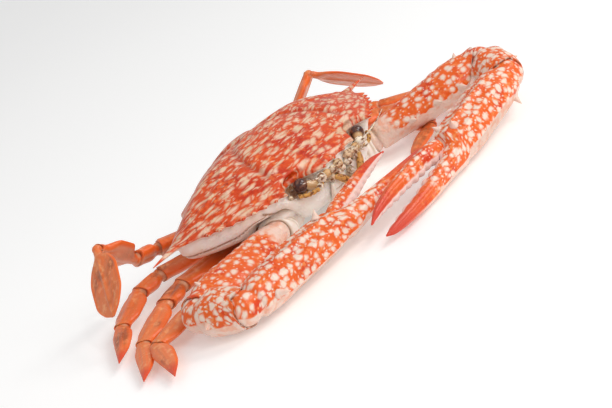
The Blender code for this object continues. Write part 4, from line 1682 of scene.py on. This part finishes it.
@dataclass(frozen=True)
class Finish:
    """What every finish shares: gloss, softness and the depth of its relief."""

    name: str
    roughness: float = 0.42
    coat: float = 0.12
    coat_roughness: float = 0.25
    soft: float = 0.12
    relief: float = 0.12
    grain: float = 0.9

    def colour(self, wiring: Wiring, where: Socket) -> Socket:
        """Mixes the colour over the surface, which each finish does in its own way.

        Args:
            wiring: the wiring of the material.
            where: the point's own place on the crab.

        Returns:
            The colour.
        """
        raise NotImplementedError

    def make(self) -> Material:
        """Makes the material, with its constants on the shader's own sockets.

        Returns:
            The material.
        """
        constants = {
            "Coat Weight": self.coat,
            "Coat Roughness": self.coat_roughness,
            "Specular IOR Level": 0.28,
            "Subsurface Weight": self.soft,
            "Subsurface Radius": (1.0, 0.42, 0.22),
            "Subsurface Scale": 1.6 * MM,
        }
        material, wiring, shader = new_material(self.name, constants)
        wiring.feed(shader.inputs["Base Color"], self.colour(wiring, wiring.place()))
        grain = wiring.use("shell_grain", Place=wiring.place(), Grain=self.grain)
        feeds = {"Strength": 0.8, "Distance": self.relief * MM, "Height": grain.outputs["Height"]}
        wiring.feed(shader.inputs["Normal"], wiring.joined("ShaderNodeBump", feeds).outputs["Normal"])
        rough = wiring.noise(wiring.place(), 1.6, 3.0)
        spread = wiring.maths("MULTIPLY_ADD", rough, 0.24, self.roughness - 0.12)
        wiring.feed(shader.inputs["Roughness"], spread)
        return material


@dataclass(frozen=True)
class CookedFinish(Finish):
    """A finish whose ground drifts between three cooked tones."""

    deep: RGB = (0.56, 0.028, 0.002)
    even: RGB = (0.70, 0.066, 0.004)
    light: RGB = (0.84, 0.17, 0.035)
    patch: float = 11.0

    def ground(self, wiring: Wiring, where: Socket) -> Socket:
        """The drifting tones, at the places given."""
        tones = {"Deep": self.deep, "Even": self.even, "Light": self.light}
        return wiring.use("cooked_blush", Place=where, Patch=self.patch, **tones).outputs["Color"]

    @staticmethod
    def jointed(wiring: Wiring, colour: Socket, **tones: RGB) -> Socket:
        """A colour with its joints cracked dark, partly as painted shade, and pale, in tones by their names
        in the shared effect.
        """
        marks = {"Crease": wiring.mark(Mark.CREASE), "Root": wiring.mark(Mark.ROOT)}
        return wiring.use("joint_shade", Color=colour, **marks, **tones).outputs["Color"]


@dataclass(frozen=True)
class ShellFinish(CookedFinish):
    """Spotted orange above, with a smooth white face below."""

    coat: float = 0.18
    coat_roughness: float = 0.16
    relief: float = 0.36
    grain: float = 1.0
    spot: RGB = (0.77, 0.53, 0.34)
    rosy_spot: RGB = (0.88, 0.58, 0.42)
    fleck: RGB = (0.34, 0.022, 0.003)
    face: RGB = (0.98, 0.92, 0.86)
    tan: RGB = (0.84, 0.66, 0.46)
    rose: RGB = (0.90, 0.62, 0.50)
    # Brown of the face's creases and eye hollows, partly stain and partly painted shade.
    crease_shade_and_stain: RGB = (0.30, 0.12, 0.035)

    def colour(self, wiring: Wiring, where: Socket) -> Socket:
        """Mixes flecked orange under pale spots with darkened grooves, and the white face with its darkened
        creases and eye hollows, partly stain and partly painted shade.

        Args:
            wiring: the wiring of the material.
            where: the point's own place on the crab.

        Returns:
            The colour.
        """
        sizes = {"Pitch": 2.4, "Size": 0.27, "Soft": 0.19, "Warp": 1.1, "Stretch": 2.2, "Loose": 0.95}
        spots = wiring.use("pale_spots", Skin=wiring.skin(), **sizes)
        tone = wiring.mix(wiring.patches(where, 5.0, 0.35, 0.7), self.spot, self.rosy_spot)
        fleck = wiring.times(wiring.patches(where, 1.5, 0.56, 0.7, 4.0), 0.6)
        flecked = wiring.mix(fleck, self.ground(wiring, where), self.fleck)
        spotted = wiring.mix(spots.outputs["Mask"], flecked, tone)
        # The fleck colour also darkens the dome's grooves, partly as stain and partly as painted shade.
        top = wiring.mix(wiring.mark(Mark.CREASE), spotted, self.fleck)
        aged = wiring.mix(wiring.times(wiring.patches(where, 9.0, 0.48, 0.7, 5.0), 0.3), self.face, self.tan)
        face = wiring.mix(wiring.times(wiring.patches(where, 6.0, 0.52, 0.75, 4.0), 0.3), aged, self.rose)
        both = wiring.mix(wiring.ease(wiring.mark(Mark.PALE), 0.25, 0.75), top, face)
        # On the pale face and underside the crease mark takes the brown, partly stain and partly painted
        # shade in creases and eye hollows.
        gold = wiring.times(wiring.mark(Mark.CREASE), wiring.patches(where, 1.1, 0.2, 0.5, 3.0))
        return wiring.mix(wiring.times(gold, wiring.mark(Mark.PALE)), both, self.crease_shade_and_stain)


@dataclass(frozen=True)
class ClawFinish(CookedFinish):
    """Orange with rows of round white spots above, pinkish white below, and red darkened tips."""

    coat: float = 0.2
    coat_roughness: float = 0.14
    relief: float = 0.19
    deep: RGB = (0.68, 0.045, 0.002)
    even: RGB = (0.82, 0.12, 0.009)
    light: RGB = (0.88, 0.25, 0.065)
    patch: float = 8.0
    spot: RGB = (0.87, 0.68, 0.56)
    under: RGB = (0.86, 0.63, 0.53)
    blush: RGB = (0.86, 0.33, 0.17)
    tip: RGB = (0.66, 0.06, 0.03)
    tooth: RGB = (0.88, 0.62, 0.56)
    pitch: float = 3.7
    size: float = 0.24
    warp: float = 0.4
    small: float = 0.45

    def colour(self, wiring: Wiring, where: Socket) -> Socket:
        """Mixes spotted orange over a mottled pale underside, then the red tips, teeth and joints.

        Args:
            wiring: the wiring of the material.
            where: the point's own place on the crab.

        Returns:
            The colour.
        """
        sizes = {"Pitch": self.pitch, "Size": self.size, "Warp": self.warp, "Small": self.small}
        spots = wiring.use("pale_spots", Skin=wiring.skin(), Soft=0.15, Stretch=1.1, Loose=0.7, **sizes)
        fade = wiring.maths("SUBTRACT", 1.0, wiring.ease(wiring.mark(Mark.TIP), 0.02, 0.3))
        top = wiring.mix(wiring.times(spots.outputs["Mask"], fade), self.ground(wiring, where), self.spot)
        mottle = wiring.times(wiring.patches(where, 3.6, 0.48, 0.66, 4.0), 0.6)
        under = wiring.mix(mottle, self.under, self.blush)
        edge = wiring.maths("ADD", wiring.mark(Mark.PALE), wiring.times(wiring.noise(where, 3.0, 3.0), 0.5))
        both = wiring.mix(wiring.ease(edge, 0.62, 0.92), top, under)
        hot = wiring.mix(wiring.ease(wiring.mark(Mark.TIP), 0.15, 1.0), both, self.tip)
        bite = wiring.mix(wiring.ease(wiring.mark(Mark.TOOTH), 0.25, 0.8), hot, self.tooth)
        return self.jointed(wiring, bite)


@dataclass(frozen=True)
class LegFinish(CookedFinish):
    """Translucent peach brown with orange edges and sharp red tips."""

    roughness: float = 0.36
    coat: float = 0.4
    soft: float = 0.2
    relief: float = 0.07
    deep: RGB = (0.42, 0.10, 0.03)
    even: RGB = (0.80, 0.20, 0.055)
    light: RGB = (0.88, 0.36, 0.15)
    patch: float = 10.0
    edge: RGB = (0.90, 0.15, 0.015)
    tip: RGB = (0.72, 0.07, 0.015)
    under: RGB = (0.84, 0.50, 0.34)
    # Dark of the joint cracks, partly the joints' own colour and partly painted shade.
    crack: RGB = (0.34, 0.09, 0.025)
    membrane: RGB = (0.78, 0.40, 0.23)

    def colour(self, wiring: Wiring, where: Socket) -> Socket:
        """Mixes streaks over drifting tones, then the pale side, the edges, the tip and the joints.

        Args:
            wiring: the wiring of the material.
            where: the point's own place on the crab.

        Returns:
            The colour.
        """
        drawn = wiring.vector("MULTIPLY", wiring.skin(), (0.12, 1.0, 1.0))
        streak = wiring.times(wiring.patches(drawn, 1.3, 0.45, 0.7, 3.0), 0.5)
        lined = wiring.mix(streak, self.ground(wiring, where), self.edge)
        below = wiring.mix(wiring.times(wiring.mark(Mark.PALE), 0.65), lined, self.under)
        rim = wiring.mix(wiring.times(wiring.mark(Mark.EDGE), 0.8), below, self.edge)
        hot = wiring.mix(wiring.ease(wiring.mark(Mark.TIP), 0.1, 0.9), rim, self.tip)
        return self.jointed(wiring, hot, Crack=self.crack, Skin=self.membrane)


@dataclass(frozen=True)
class CreamFinish(Finish):
    """White under-shell with pink smudges and brown lines in its grooves, partly stain and partly painted
    shade.
    """

    relief: float = 0.08
    white: RGB = (0.97, 0.90, 0.82)
    pink: RGB = (0.92, 0.66, 0.53)
    line: RGB = (0.45, 0.26, 0.12)

    def colour(self, wiring: Wiring, where: Socket) -> Socket:
        """Mixes smudged white, and the lines over it.

        Args:
            wiring: the wiring of the material.
            where: the point's own place on the crab.

        Returns:
            The colour.
        """
        smudge = wiring.times(wiring.patches(where, 5.0, 0.45, 0.75, 4.0), 0.6)
        smudged = wiring.mix(smudge, self.white, self.pink)
        # The crease mark draws the brown lines in grooves and joints, partly stain and partly painted shade.
        return wiring.mix(wiring.times(wiring.mark(Mark.CREASE), 0.8), smudged, self.line)


@dataclass(frozen=True)
class GoldFinish(Finish):
    """Golden brown of the mouth parts and feelers."""

    relief: float = 0.2
    grain: float = 0.5
    tan: RGB = (0.66, 0.33, 0.07)
    brown: RGB = (0.20, 0.06, 0.012)
    cream: RGB = (0.92, 0.80, 0.64)

    def colour(self, wiring: Wiring, where: Socket) -> Socket:
        """Mixes cream to tan by the part, with brown blotches."""
        tone = wiring.mix(wiring.ease(wiring.mark(Mark.TIP), 0.1, 0.9), self.cream, self.tan)
        return wiring.mix(wiring.patches(where, 1.3, 0.46, 0.66, 4.0), tone, self.brown)


@dataclass(frozen=True)
class EyeFinish(Finish):
    """Dark cooked eye on a golden stalk."""

    roughness: float = 0.22
    coat: float = 0.6
    coat_roughness: float = 0.12
    relief: float = 0.03
    dark: RGB = (0.06, 0.016, 0.012)
    haze: RGB = (0.22, 0.09, 0.05)
    stalk: RGB = (0.62, 0.38, 0.18)

    def colour(self, wiring: Wiring, where: Socket) -> Socket:
        """Mixes a hazy dark ball, and the stalk below it."""
        ball = wiring.mix(wiring.patches(where, 1.4, 0.45, 0.75, 3.0), self.dark, self.haze)
        return wiring.mix(wiring.mark(Mark.ROOT), ball, self.stalk)


@dataclass(frozen=True)
class FloorFinish:
    """A clean pale table with a faint gloss."""

    name: str = "pale_table"
    light: RGB = (0.96, 0.96, 0.955)
    shade: RGB = (0.93, 0.93, 0.928)
    patch: float = 240.0

    def make(self) -> Material:
        """Makes the table's material.

        Returns:
            The material.
        """
        constants = {
            "Roughness": 0.35,
            "Specular IOR Level": 0.3,
            "Emission Color": (1.0, 1.0, 1.0, 1.0),
            "Emission Strength": 0.2,
        }
        material, wiring, shader = new_material(self.name, constants)
        patch = wiring.noise(wiring.place(), self.patch)
        wiring.feed(shader.inputs["Base Color"], wiring.mix(patch, self.light, self.shade))
        return material


# --- Studio ---


@dataclass
class Studio:
    """The table, soft lights and camera round the crab.

    A light is (name, watts, size, place as steps right, up and back from the aim, colour).
    """

    azimuth: float = -45.0
    elevation: float = 18.0
    roll: float = 27.0
    lens: float = 90.0
    sensor: float = 36.0
    distance: float = 0.545
    aim: Point = (-12.0, -20.0, 8.0)
    table_half: float = 3.0
    table_lines: int = 24
    room: float = 0.55
    lights: tuple = (
        ("key", 2.9, 0.36, (0.35, 0.85, 0.25), (1.0, 0.985, 0.96)),
        ("fill", 0.5, 0.7, (-0.8, 0.35, 0.7), (0.97, 0.985, 1.0)),
        ("front", 2.5, 0.45, (0.42, 0.58, 0.88), (1.0, 0.99, 0.98)),
        ("spark", 0.7, 0.05, (0.12, 0.62, 0.8), (1.0, 0.99, 0.97)),
    )

    def axes(self) -> tuple[Vector, Vector, Vector]:
        """Works out the camera's directions.

        Returns:
            (right, up, backward).
        """
        a, e, q = (math.radians(v) for v in (self.azimuth, self.elevation, self.roll))
        back = Vector((math.sin(a) * math.cos(e), -math.cos(a) * math.cos(e), math.sin(e)))
        right = Vector((math.cos(a), math.sin(a), 0.0))
        up = back.cross(right)
        return right * math.cos(q) - up * math.sin(q), right * math.sin(q) + up * math.cos(q), back

    def build(self) -> None:
        """Sets the stage."""
        self.build_camera()
        self.build_table()
        self.build_lights()

    def build_camera(self) -> None:
        """Places the camera."""
        right, up, back = self.axes()
        data = bpy.data.cameras.new("camera")
        data.lens, data.sensor_width = self.lens, self.sensor
        camera = add_object("camera", data)
        place = Vector(self.aim) * MM + back * self.distance
        camera.matrix_world = Matrix.Translation(place) @ Matrix((right, up, back)).transposed().to_4x4()
        bpy.context.scene.camera = camera

    def build_table(self) -> None:
        """Lays the table."""
        count = self.table_lines
        grid = np.linspace(-self.table_half, self.table_half, count)
        points = [(x, y, 0.0) for y in grid for x in grid]
        corners = [i * count + j for i in range(count - 1) for j in range(count - 1)]
        mesh = bpy.data.meshes.new("table")
        mesh.from_pydata(points, [], [(at, at + 1, at + count + 1, at + count) for at in corners])
        mesh.materials.append(FloorFinish().make())
        table = add_object("table", mesh)

    def build_lights(self) -> None:
        """Hangs the soft lights and brightens the room."""
        for name, watts, size, steps, colour in self.lights:
            data = bpy.data.lights.new(name, "AREA")
            data.energy, data.size, data.color = watts, size, colour
            lamp = add_object(name, data)
            place = sum((way * step for way, step in zip(self.axes(), steps)), Vector())
            lamp.location = Vector(self.aim) * MM + place
            lamp.rotation_mode = "QUATERNION"
            lamp.rotation_quaternion = place.to_track_quat("Z", "Y")
        world = bpy.data.worlds.new("room")
        world.use_nodes = True
        ground = world.node_tree.nodes["Background"]
        ground.inputs["Color"].default_value = (1.0, 1.0, 1.0, 1.0)
        ground.inputs["Strength"].default_value = self.room
        bpy.context.scene.world = world
        bpy.context.scene.view_settings.view_transform = "Standard"


# --- The crab ---


def main() -> None:
    """Builds the crab piece by piece, then the studio."""
    logging.basicConfig(level=logging.INFO, format="%(name)s %(message)s")
    Effects()
    shell = ShellFinish("cooked_shell").make()
    claw = ClawFinish("cooked_claw").make()
    wrist = ClawFinish("cooked_wrist", pitch=3.2, size=0.33, warp=0.9, small=0.6).make()
    palm = ClawFinish("cooked_palm", pitch=3.3, size=0.31, warp=0.7, small=0.5).make()
    finger = ClawFinish("cooked_finger", pitch=3.0, size=0.22).make()
    leg = LegFinish("cooked_leg").make()
    cream = CreamFinish("under_shell").make()
    gold = GoldFinish("mouth_gold").make()
    bristle = GoldFinish("bristle", tan=(0.55, 0.34, 0.14), relief=0.02, grain=0.9).make()
    eye = EyeFinish("cooked_eye").make()
    Carapace(shell).build()
    Underside(cream).build()
    for side in SIDES:
        Face(side, eye, cream, gold, bristle).build()
    Claws({"": claw, "base": cream, "wrist": wrist, "palm": palm, "finger": finger}).build()
    WalkingLegs(leg).build()
    SwimmingLegs(leg).build()
    Studio().build()


if __name__ == "__main__":
    main()
